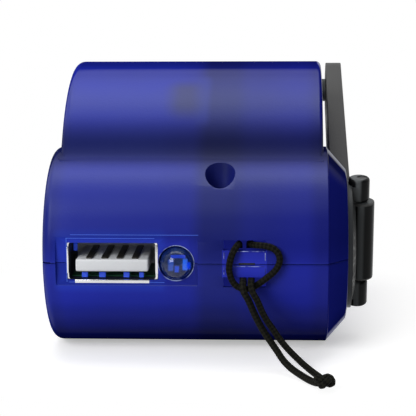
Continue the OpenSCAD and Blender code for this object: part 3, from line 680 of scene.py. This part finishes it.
def tail_outline(inset=0.0):
    r1, r2 = FRONT_R - inset, REAR_R - inset
    rf, floor = VALLEY_R + inset, inset
    gap = (REAR[0] - HUB[0], REAR[1] - HUB[1])
    d = math.hypot(*gap)
    ux, uy = gap[0] / d, gap[1] / d
    sunk = 0.03
    a = ((r1 + rf - sunk) ** 2 - (r2 + rf) ** 2 + d * d) / (2 * d)
    h = math.sqrt((r1 + rf - sunk) ** 2 - a * a)
    fillet = (HUB[0] + a * ux - h * uy, HUB[1] + a * uy + h * ux)
    corner = 1.3 if inset else 2.6
    end = REAR[0] + math.sqrt((r2 - corner) ** 2 - (REAR[1] - floor - corner) ** 2)
    low = math.degrees(math.atan2(floor + corner - REAR[1], end - REAR[0]))
    to_fillet = math.degrees(math.atan2(fillet[1] - REAR[1], fillet[0] - REAR[0]))
    to_front = math.degrees(math.atan2(HUB[1] - fillet[1], HUB[0] - fillet[0])) % 360
    back = arc(REAR[0], REAR[1], r2, low, to_fillet, 170)
    hollow = arc(fillet[0], fillet[1], rf, to_fillet + 180, to_front - 4, 14)
    toe = arc(end, floor + corner, corner, 270, 360 + low, 6)
    inside = [(HUB[0] + 1, HUB[1] + 4), (HUB[0] + 1, floor)]
    base = [(HUB[0] + 1 + (end - HUB[0] - 1) * i / 10, floor) for i in range(1, 10)]
    return back + hollow[1:] + inside + base + toe[:-1]


def inset_points(points, distance):
    moved = []
    for i, p in enumerate(points):
        q, n = points[i - 1], points[(i + 1) % len(points)]
        t = Vector((n[0] - q[0], n[1] - q[1])).normalized()
        moved.append((p[0] - t[1] * distance, p[1] + t[0] * distance))
    return moved


def loft(rings):
    n = len(rings[0])
    points = [p for ring in rings for p in ring]
    faces = [[k * n + i, k * n + (i + 1) % n, (k + 1) * n + (i + 1) % n, (k + 1) * n + i]
             for k in range(len(rings) - 1) for i in range(n)]
    faces.append(list(range(n - 1, -1, -1)))
    faces.append([(len(rings) - 1) * n + i for i in range(n)])
    piece = mesh_piece("loft", points, faces)
    tidy_mesh(piece, 1e-7)
    return piece


def tail(inset=0.0):
    outline = tail_outline(inset)
    x0, x1 = -TAIL_LEFT + inset, TAIL_RIGHT - inset
    e0, e1 = (1.3, 0.8) if not inset else (1.0, 0.4)
    left = [(e0 * (1 - math.cos(t)), x0 + e0 * (1 - math.sin(t)))
            for t in [math.radians(90 - 90 * i / 7) for i in range(8)]]
    right = [(e1 - math.sqrt(max(0, e1 * e1 - (e1 - (x1 - x)) ** 2)), x)
             for x in [x1 - e1 * (1 - math.sin(math.radians(90 * i / 5))) for i in range(6)]]
    rows = [(0.0, x0 + e0 + (x1 - x0 - e0 - e1) * i / 12) for i in range(1, 12)]
    rings = [[(x, y, z) for y, z in (inset_points(outline, d) if d > 1e-6 else outline)]
             for d, x in left + rows + right]
    return loft(rings)


case = front_drum()
combine(case, tail(), "UNION")
print("case skin", len(case.data.polygons), "faces")

# %% [markdown]
# The hollow inside is a second, smaller pair of shapes. The screw posts and the thick wall
# behind the lanyard bridge are taken out of the hollow, so they stay solid in the case.

# %% Hollow with posts
hollow = front_drum(WALL)
combine(hollow, tail(WALL), "UNION")
boss_hollow = turned([(0, HALF_W - WALL - 0.5), (FRONT_R - WALL - 1, HALF_W - WALL - 0.5),
                      (BOSS_R - WALL, BOSS_X - WALL), (0, BOSS_X - WALL)],
                     (0, HUB[0], HUB[1]))
combine(hollow, boss_hollow, "UNION")
for x, y in SCREWS:
    combine(hollow, rod(3.0, (x, y, -5), (x, y, 60)), "DIFFERENCE")
pad = rod(DISH_R + 1.1, (BRIDGE_X - DISH_W / 2 - 1.1, FRONT_Y, PART_Z),
          (BRIDGE_X + DISH_W / 2 + 1.1, FRONT_Y, PART_Z))
combine(hollow, pad, "DIFFERENCE")
combine(case, hollow, "DIFFERENCE")
print("hollow case", len(case.data.polygons), "faces")

# %% [markdown]
# Then the openings: a shallow flat round the socket and the lamp, the socket's mouth with
# room for its lips, the lamp's hole, the lanyard dish, the crank's bore and the screw wells.
# The dish is a round hollow behind the bridge with a straighter, narrower mouth, and a short
# slit crosses the bar. Each form is its own cutter, so each keeps a crisp edge.

# %% Openings
FLAT_Y = FRONT_Y + 0.5
MOUTH = ((USB[0] - 6.65, USB[1] - 3.1), (USB[0] + 6.65, USB[1] + 2.65))
combine(case, box((USB[0] - 8.6, FRONT_Y - 5, USB[1] - 4.05),
                  (1.8, FLAT_Y, USB[1] + 4.05), 0.25), "DIFFERENCE")
combine(case, box((MOUTH[0][0] - 0.26, FRONT_Y - 5, MOUTH[0][1]),
                  (MOUTH[1][0] + 0.42, FRONT_Y + 8, MOUTH[1][1]), 0.2), "DIFFERENCE")
combine(case, box((-17.02, FRONT_Y - 5, MOUTH[0][1] - 0.52),
                  (-5.58, FRONT_Y + 8, MOUTH[0][1] + 1), 0.1), "DIFFERENCE")
combine(case, box((USB[0] - 7.05, FLAT_Y + 0.35, USB[1] - 3.5),
                  (USB[0] + 7.05, FRONT_Y + 8, USB[1] + 3.05)), "DIFFERENCE")
combine(case, rod(2.7, (LED_X, FRONT_Y - 5, PART_Z), (LED_X, FRONT_Y + 8, PART_Z)),
        "DIFFERENCE")
dish = rod(DISH_R, (BRIDGE_X - DISH_W / 2, FRONT_Y, PART_Z),
           (BRIDGE_X + DISH_W / 2, FRONT_Y, PART_Z), 96)
combine(dish, box((BRIDGE_X - 9, FRONT_Y - 9, PART_Z - 9),
                  (BRIDGE_X + 9, FRONT_Y + 1.3, PART_Z + 9)), "DIFFERENCE")
combine(dish, box((BRIDGE_X - DISH_W / 2, FRONT_Y - 3, PART_Z - 3.7),
                  (BRIDGE_X + DISH_W / 2, FRONT_Y + 1.8, PART_Z + 3.6)), "UNION")
combine(dish, box((BRIDGE_X - 9, FRONT_Y - 9, PART_Z - BRIDGE_H / 2),
                  (BRIDGE_X + 9, FRONT_Y + 2.6, PART_Z + BRIDGE_H / 2), 0.5), "DIFFERENCE")
combine(case, dish, "DIFFERENCE")
combine(case, box((BRIDGE_X - 0.9, FRONT_Y - 5, PART_Z - 0.2),
                  (BRIDGE_X + 1.6, FRONT_Y + 2.62, PART_Z + 0.2)), "DIFFERENCE")
combine(case, box((-22, -30, PART_Z - 0.13), (-20.6, -20, PART_Z + 0.13)), "DIFFERENCE")
combine(case, rod(4.42, (HALF_W - 1, *HUB), (BOSS_X + 2, *HUB)), "DIFFERENCE")
for x, y in SCREWS:
    combine(case, rod(2.33, (x, y, PART_Z + 5), (x, y, 60)), "DIFFERENCE")
    combine(case, rod(1.0, (x, y, PART_Z - 8), (x, y, PART_Z + 6), 32), "DIFFERENCE")
print("case with openings", len(case.data.polygons), "faces")

# %% [markdown]
# The case parts along a level plane. Each half is what a large block leaves of it, with a
# hair's gap so that the parting line shows as on the moulded halves.

# %% Two halves
PART_GAP = 0.05


def half(name, low, high, replaces):
    only(case)
    bpy.ops.object.duplicate()
    piece = bpy.context.object
    combine(piece, box((-60, -60, low), (60, 60, high)), "INTERSECT")
    tidy_mesh(piece, 1e-6)
    piece.data.materials.clear()
    piece.data.materials.append(blue)
    piece.data.materials.append(blue_edge_highlight)
    # the bevel's faces take the second finish: a lighter blue painted highlight on sharp edges
    apply(piece, "BEVEL", width=0.09 * MM, segments=2, limit_method="ANGLE",
          angle_limit=math.radians(50), material=1)
    smooth(piece, 30)
    return finish_piece(piece, name, "case", blue, (replaces,))


top_half = half("case_top", PART_Z + PART_GAP, 80, "upper_shell")
base_half = half("case_base", -20, PART_Z - PART_GAP, "lower_shell")
bpy.data.objects.remove(case, do_unlink=True)

# %% [markdown]
# Thin pale strips along the outline of the bridge's bar and of the panel round the socket,
# and nowhere else, are painted highlights. A dark sheet sits just inside the slit as painted
# shade, where the real one is too narrow to let light in.

# %% Painted edge highlights
# painted highlights: blue strips round the panel of the socket
highlight_strips = [(-17.6, 19.88, 1.9, 19.96, -27.93), (-18.3, 19.36, -4.75, 19.44, FLAT_Y - 0.03),
        (-18.26, 12.6, -18.16, 19.4, FLAT_Y - 0.03), (-17.9, 12.54, -16.9, 12.62, FLAT_Y - 0.03),
        (-5.5, 12.54, -3.3, 12.62, FLAT_Y - 0.03)]
panel_highlight = joined([box((x0, y, z0), (x1, y + 0.25, z1), 0.03) for x0, z0, x1, z1, y in highlight_strips])
finish_piece(panel_highlight, "panel_painted_highlights", "case", blue_edge_highlight)
# painted highlights: pale strips round the bridge's bar
edges = joined([box((x0, FRONT_Y - 0.03, z0), (x1, FRONT_Y + 0.2, z1), 0.03)
                for x0, z0, x1, z1 in ((7.7, 17.52, 11.9, 17.6), (12.0, 16.1, 12.08, 17.4),
                                       (5.75, 16.3, 5.83, 17.4), (5.75, 14, 5.83, 15.2),
                                       (6.9, 15.2, 12.0, 15.28), (12.0, 13.9, 12.08, 15))])
finish_piece(edges, "bridge_painted_highlights", "case", pale_highlight)
# painted shade: a near-black sheet just inside the slit
slit_shade = box((BRIDGE_X - 0.88, FRONT_Y + 0.35, PART_Z - 0.19),
           (BRIDGE_X + 1.58, FRONT_Y + 0.6, PART_Z + 0.19), 0.03)
finish_piece(slit_shade, "bridge_slit_painted_shade", "case", painted_shade_dark)

# %% [markdown]
# The socket shell is bent from thin plate: a tube with round corners whose lips flare out
# at the sides and below. A loft of rounded rectangles gives the tube, and rounded strips
# give the lips. Its inner walls deep in the socket are painted near black as shade. Small
# glowing patches of painted light stand where blue plastic shows through the shell.

# %% Socket shell


def round_rect(width, height, radius, y, x0, z0):
    w, h = width / 2 - radius, height / 2 - radius
    ring = []
    for cx, cz, start in ((w, h, 0), (-w, h, 90), (-w, -h, 180), (w, -h, 270)):
        ring += [(x0 + x, y, z0 + z) for x, z in arc(cx, cz, radius, start, start + 90, 5)]
    return ring


def tube_loft(rings):
    n = len(rings[0])
    points = [p for ring in rings for p in ring]
    faces = [[k * n + i, k * n + (i + 1) % n, ((k + 1) % len(rings)) * n + (i + 1) % n,
              ((k + 1) % len(rings)) * n + i] for k in range(len(rings)) for i in range(n)]
    piece = mesh_piece("tube", points, faces)
    tidy_mesh(piece, 1e-7)
    return piece


USB_FRONT = FRONT_Y - 0.25
USB_W, USB_H, USB_T, USB_DEPTH = 13.9, 5.9, 0.3, 13.5
SHELL_Y = FLAT_Y + 0.38
USB_BACK = USB_FRONT + USB_DEPTH
SHELL_H, SHELL_Z = USB_H + 0.45, USB[1] - 0.225
outside = [round_rect(USB_W, SHELL_H, 0.7, y, USB[0], SHELL_Z) for y in (SHELL_Y, -25, USB_BACK)]
inside = [round_rect(USB_W - 2 * USB_T, SHELL_H - 2 * USB_T, 0.45, y, USB[0], SHELL_Z)
          for y in (USB_BACK, -25, SHELL_Y)]
socket = tube_loft(outside + inside)
LIPS = [((MOUTH[0][0] - 0.24, 13.95), (MOUTH[0][0] + 0.02, 18)),
        ((MOUTH[1][0] - 0.02, 13.95), (MOUTH[1][0] + 0.4, 18.2)),
        ((-17, MOUTH[0][1] - 0.5), (-5.6, MOUTH[0][1] + 0.02))]
for low, high in LIPS:
    combine(socket, box((low[0], FLAT_Y - 0.04, low[1]),
                        (high[0], SHELL_Y + 0.2, high[1]), 0.06), "UNION")
back = box((USB[0] - USB_W / 2 + 0.1, USB_BACK - 0.3, USB[1] - USB_H / 2 + 0.1),
           (USB[0] + USB_W / 2 - 0.1, USB_BACK, USB[1] + USB_H / 2 - 0.1))
combine(socket, back, "UNION")
smooth(socket, 35)
socket.data.materials.clear()
socket.data.materials.append(nickel)
socket.data.materials.append(painted_shade_dark)
# painted shade: inner walls deep in the socket take the near-black finish
for face in socket.data.polygons:
    inward = Vector((USB[0], 0, USB[1])) * MM - face.center
    inward.y = 0
    deep = face.center.y > (SHELL_Y + 0.3) * MM
    face.material_index = int(deep and face.normal.dot(inward) > 0)
finish_piece(socket, "socket_shell", "case", nickel, ("usb_shell",))
# the patches glow with painted light where blue plastic shows through the shell
# middle, front, foot, height and half width of each patch, in mm
glow_windows = joined([box((x - w, y, z), (x + w, y + 0.4, z + h), 0.08) for x, y, z, h, w in (
    (-15.6, -27, 13.1, 0.8, 0.45), (-12.9, -27, 13.1, 0.8, 0.5),
    (-9.2, -27, 13.1, 0.8, 0.45), (-6.9, -27, 13.1, 0.8, 0.35),
    (-14, -20, 17, 1.2, 0.25), (-7.6, -20, 17, 1.2, 0.25), (-17.4, -24, 16.6, 1.2, 0.3))])
finish_piece(glow_windows, "socket_windows_painted_glow", "case", glow_blue)

# %% [markdown]
# The tongue is moulded with rounded edges and carries four sprung contacts on its top.

# %% Tongue and contacts
TONGUE_W, TONGUE_T = 11.1, 1.9
TONGUE_Z = USB[1] - USB_H / 2 + USB_T + 0.85
tongue = box((USB[0] - TONGUE_W / 2, USB_FRONT + 0.6, TONGUE_Z),
             (USB[0] + TONGUE_W / 2, USB_FRONT + 12.6, TONGUE_Z + TONGUE_T), 0.28, 4)
combine(tongue, box((USB[0] - USB_W / 2 + 0.35, USB_FRONT + 10.6, USB[1] - 2.6),
                    (USB[0] + USB_W / 2 - 0.35, USB_FRONT + 13.1, USB[1] + 2.6)), "UNION")
smooth(tongue, 35)
finish_piece(tongue, "socket_tongue", "case", white_plastic, ("usb_tongue",))
contacts = []
for x in (-3.5, -1.15, 1.15, 3.5):
    strip = box((USB[0] + x - 0.5, USB_FRONT + 1.2, TONGUE_Z + TONGUE_T - 0.01),
                (USB[0] + x + 0.5, USB_FRONT + 10.3, TONGUE_Z + TONGUE_T + 0.22), 0.08)
    contacts.append(strip)
contact_set = joined(contacts)
smooth(contact_set, 35)
# the contacts take the gold darkened as painted shade
finish_piece(contact_set, "socket_contacts", "case", gold_in_painted_shade, ("usb_contacts",))

# %% [markdown]
# The lamp is a clear blue dome, cast round a small reflector cup and its two posts. The dome
# magnifies what is behind it, so the cup carries small soft patches of painted light in place
# of the posts and the chip, a grey painted reflection above them, and a glow. A pale rim round
# the hole and a fine pale arc inside the dome are painted highlights.

# %% Lamp
LED_R = 2.5
clear_blue = node_material("clear_blue_resin", (0.12, 0.3, 0.85), 0.04, vary=0.05,
                           Transmission_Weight=0.95, IOR=1.45)
dome = arc(0, 0, LED_R, 90, 0, 14)
profile = [(x, -y) for x, y in dome] + [(LED_R, 3.4), (LED_R + 0.4, 3.45),
                                        (LED_R + 0.4, 4.4), (LED_R, 4.45), (0, 4.45)]
lamp = turned(profile, (LED_X, FRONT_Y + 1.3, LED_Z), (0, 1, 0))
smooth(lamp, 35)
finish_piece(lamp, "lamp_dome", "case", clear_blue, ("indicator_led",))
cup = turned([(0, 1.2), (0.6, 1.0), (1.5, 0.3), (1.9, 0.1), (2.0, 0.2), (1.9, 1.4), (0.7, 2.4),
              (0, 2.4)], (LED_X, FRONT_Y + 1.9, LED_Z), (0, 1, 0), 20)
place = lamp_cup_glow.node_tree.nodes["Texture Coordinate"].outputs["Object"]
shader = lamp_cup_glow.node_tree.nodes["Principled BSDF"]
color = shader.inputs["Base Color"].links[0].from_socket
# painted light patches and a grey painted reflection on the cup: place beside and above the
# lamp's axis, half width and height and softness in mm, and tint
for x, z, w, h, soft, tint in ((0, 0.1, 0.5, 0.08, 0.1, (0.01, 0.08, 0.7)),
                               (-0.54, -0.5, 0.12, 0.32, 0.15, (0.1, 0.2, 0.6)),
                               (0.54, -0.45, 0.12, 0.32, 0.15, (0.06, 0.3, 0.9)),
                               (0.85, -0.5, 0.08, 0.2, 0.15, (0.01, 0.1, 0.8)),
                               (-0.08, -0.8, 0.1, 0.15, 0.12, (0.02, 0.15, 0.8)),
                               (0, 0.65, 0.45, 0.22, 0.12, (0.07, 0.07, 0.09))):
    mask = soft_box(lamp_cup_glow, place, (LED_X + x, FRONT_Y + 3, LED_Z + z), (w, 3, h), soft)
    color = blend(lamp_cup_glow, "MIX", mask, color, tint)
lamp_cup_glow.node_tree.links.new(color, shader.inputs["Base Color"])
# the cup glows in the same colours: painted light
lamp_cup_glow.node_tree.links.new(color, shader.inputs["Emission Color"])
shader.inputs["Emission Strength"].default_value = 0.35
finish_piece(cup, "lamp_cup", "case", lamp_cup_glow)
# painted highlight: a pale ring round the lamp's hole
rim = turned([(2.68, 0.25), (2.68, -0.03), (2.72, -0.08), (2.76, -0.08), (2.8, 0.02), (2.8, 0.25),
              (2.68, 0.25)], (LED_X, FLAT_Y, PART_Z), (0, 1, 0))
smooth(rim, 35)
finish_piece(rim, "lamp_hole_rim_painted_highlight", "case", pale_highlight)
# painted highlight: a pale arc inside the dome, where the light above reflects
glint = [Vector((LED_X + x, FRONT_Y + 2.1, LED_Z + z)) for x, z in arc(0, 0, 2.15, 50, 130, 24)]
glint = braided("glint", glint, 0.07, 8, depth=0)
finish_piece(glint, "lamp_dome_painted_highlight", "case", pale_highlight)

# %% [markdown]
# The arm, the hub and the knob are sharp in the frame. A merged copy of the arm and of the hub
# gets its rims rounded with a bevel, which keeps every fit and hole where the frame has it.

# %% Rounded copies of crank parts


def rounded_copy(node, width, angle=25, segments=3):
    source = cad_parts[node]
    only(source)
    bpy.ops.object.duplicate()
    piece = bpy.context.object
    for key in list(piece.keys()):
        del piece[key]
    world = piece.matrix_world.copy()
    piece.parent = None
    piece.matrix_world = world
    settle(piece)
    tidy_mesh(piece, 2e-6)
    only(piece)
    bpy.ops.object.mode_set(mode="EDIT")
    bpy.ops.mesh.select_all(action="SELECT")
    bpy.ops.mesh.dissolve_limited(angle_limit=math.radians(0.5))
    bpy.ops.object.mode_set(mode="OBJECT")
    apply(piece, "BEVEL", width=width * MM, segments=segments, limit_method="ANGLE",
          angle_limit=math.radians(angle))
    smooth(piece, 35)
    return piece


hub = rounded_copy("crank_hub", 0.22)
finish_piece(hub, "crank_hub_disc", "crank", black_gloss, ("crank_hub",))
arm = rounded_copy("crank_arm", 0.3)
finish_piece(arm, "crank_arm_bar", "arm", arm_grey, ("crank_arm",))

# %% [markdown]
# The barrel of the arm is glossy where the fold rubs it, so it is a sleeve of its own.

# %% Barrel sleeve
HINGE_X = BOSS_X + 2.5
HINGE = Vector((0, math.cos(math.radians(100)), math.sin(math.radians(100))))
centre = Vector((HINGE_X, *HUB))
barrel = turned([(0.9, -5.72), (1.7, -5.72), (2.03, -5.4), (2.03, 7.0), (1.7, 7.32), (0.9, 7.32),
                 (0.9, -5.72)], centre, HINGE, 64)
smooth(barrel, 35)
finish_piece(barrel, "crank_barrel", "arm", black_gloss)

# %% [markdown]
# The knob is turned with a waist for two fingers, and a thin collar beside the arm.

# %% Knob
ARM_ANGLE = math.radians(24.7)
ARM_LEN = 48.46
KNOB_AT = (HUB[0] + ARM_LEN * math.cos(ARM_ANGLE), HUB[1] + ARM_LEN * math.sin(ARM_ANGLE))
KNOB_START = TAIL_RIGHT + 0.3
KNOB_LEN = 15.5
KNOB_END = KNOB_START - KNOB_LEN
grip = [(1.54, 1.2), (2.7, 1.2), (2.7, 0.15), (2.85, 0)] + arc(3.1, 1.1, 1.1, 270, 360, 6)
grip += [(4.2 - 0.35 * math.sin(math.pi * i / 10) ** 2, 1.1 + (KNOB_LEN - 2) * i / 10)
         for i in range(1, 10)]
grip += arc(3.4, KNOB_LEN - 0.8, 0.8, 0, 90, 5) + [(2.1, KNOB_LEN), (2.1, 16.7), (2.0, 16.78),
                                                   (1.54, 16.78), (1.54, 1.2)]
knob = turned(grip, (KNOB_END, *KNOB_AT))
smooth(knob, 35)
finish_piece(knob, "crank_grip", "knob", black_gloss, ("crank_knob",))

# %% [markdown]
# The parts inside are right as they are in the frame. Each takes the finish of its stuff.

# %% Finishes of the carried parts
FINISHES = {
    steel: ("case_screws", "gear_pillars", "gearbox_screws", "shaft_clip", "crank_shaft",
            "compound_axle", "rotor_shaft", "knob_axle", "knob_clip",
            "led_leads", "gear_plate_inner", "gear_plate_outer", "generator_can"),
    blackened: ("hinge_pin",),
    bronze: ("boss_bush", "plate_bush", "generator_bushes", "rotor_pinion"),
    copper: ("stator_coils",),
    ferrite: ("rotor_magnet", "inductor"),
    nylon: ("drive_gear", "compound_gear"),
    black_plastic: ("bulkhead", "generator_cap", "rectifier_diodes", "regulator_chip"),
    board_green: ("circuit_board",),
    sleeve: ("capacitor",),
    wire_red: ("generator_wires",),
}
for finish, names in FINISHES.items():
    for name in names:
        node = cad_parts[name]
        for place in node.material_slots:
            place.material = finish
print("dressed", sum(len(names) for names in FINISHES.values()), "carried parts")

# %% [markdown]
# A white table and a white room. Both are plain white where the camera sees them, and they
# send back only soft light, so colours keep their depth. In reflections the room is white
# behind the object and dimmer in front of it, which keeps the face of the case from going
# pale. Near the object the table is lit for real and keeps the shadow; further out it fades
# into the plain white of the room.

# %% Floor and world


def seen_directly(tree):
    path = tree.nodes.new("ShaderNodeLightPath")
    seen = path.outputs["Is Camera Ray"]
    for name in ("Is Glossy Ray", "Is Transmission Ray"):
        seen = math_node(tree, "MAXIMUM", seen, path.outputs[name])
    return seen


def white_table(name):
    material = bpy.data.materials.new(name)
    material.use_nodes = True
    nodes, links = material.node_tree.nodes, material.node_tree.links
    nodes.remove(nodes["Principled BSDF"])
    place = nodes.new("ShaderNodeTexCoord").outputs["Object"]
    near = soft_box(material, place, (1, -2, 0), (19, 20, 5), 26)
    bounce, table = nodes.new("ShaderNodeBsdfDiffuse"), nodes.new("ShaderNodeBsdfDiffuse")
    bounce.inputs["Color"].default_value = (0.3, 0.3, 0.3, 1)
    table.inputs["Color"].default_value = (0.95, 0.95, 0.95, 1)
    plain, lift = nodes.new("ShaderNodeEmission"), nodes.new("ShaderNodeEmission")
    lift.inputs["Strength"].default_value = 0.4
    lifted = nodes.new("ShaderNodeAddShader")
    links.new(table.outputs["BSDF"], lifted.inputs[0])
    links.new(lift.outputs["Emission"], lifted.inputs[1])
    shown, either = nodes.new("ShaderNodeMixShader"), nodes.new("ShaderNodeMixShader")
    links.new(near, shown.inputs["Fac"])
    links.new(plain.outputs["Emission"], shown.inputs[1])
    links.new(lifted.outputs["Shader"], shown.inputs[2])
    links.new(seen_directly(material.node_tree), either.inputs["Fac"])
    links.new(bounce.outputs["BSDF"], either.inputs[1])
    links.new(shown.outputs["Shader"], either.inputs[2])
    links.new(either.outputs["Shader"], nodes["Material Output"].inputs["Surface"])
    return material


bpy.ops.mesh.primitive_plane_add(size=4, location=(0, 0, -0.00002))
floor = bpy.context.object
floor.name = "floor"
floor.data.materials.append(white_table("white_table"))

world = bpy.data.worlds.new("studio")
bpy.context.scene.world = world
world.use_nodes = True
w_nodes, w_links = world.node_tree.nodes, world.node_tree.links
background = w_nodes["Background"]
direction = w_nodes.new("ShaderNodeTexCoord")
parts = w_nodes.new("ShaderNodeSeparateXYZ")
w_links.new(direction.outputs["Generated"], parts.inputs["Vector"])
room = ranged(world.node_tree, parts.outputs["Y"], (-0.3, 0.1), (0.3, 1.0))
level = w_nodes.new("ShaderNodeMix")
level.inputs[2].default_value = 0.35
w_links.new(seen_directly(world.node_tree), level.inputs["Factor"])
camera_ray = w_nodes.new("ShaderNodeLightPath").outputs["Is Camera Ray"]
w_links.new(math_node(world.node_tree, "MAXIMUM", room, camera_ray), level.inputs[3])
background.inputs["Color"].default_value = (1, 1, 1, 1)
w_links.new(level.outputs["Result"], background.inputs["Strength"])

# %% [markdown]
# Two large soft lamps, one above and behind for the sheen along the drums' tops, one from
# the front left for the face, at a plain level.

# %% Lamps


def soft_lamp(name, at, aim, size, power):
    bpy.ops.object.light_add(type="AREA", location=[v * MM for v in at])
    lamp = bpy.context.object
    lamp.name = name
    lamp.data.shape = "RECTANGLE"
    lamp.data.size, lamp.data.size_y = size[0] * MM, size[1] * MM
    lamp.data.energy = power
    away = (Vector(at) - Vector(aim)).normalized()
    lamp.rotation_mode = "QUATERNION"
    lamp.rotation_quaternion = away.to_track_quat("Z", "Y")
    return lamp


soft_lamp("overhead", (0, 80, 420), (0, 0, 20), (500, 260), 0.7)
soft_lamp("front_left", (-260, -380, 260), (0, 0, 20), (260, 260), 1.6)
bpy.context.scene.view_settings.view_transform = "Standard"
print("lamps", len(bpy.data.lights))
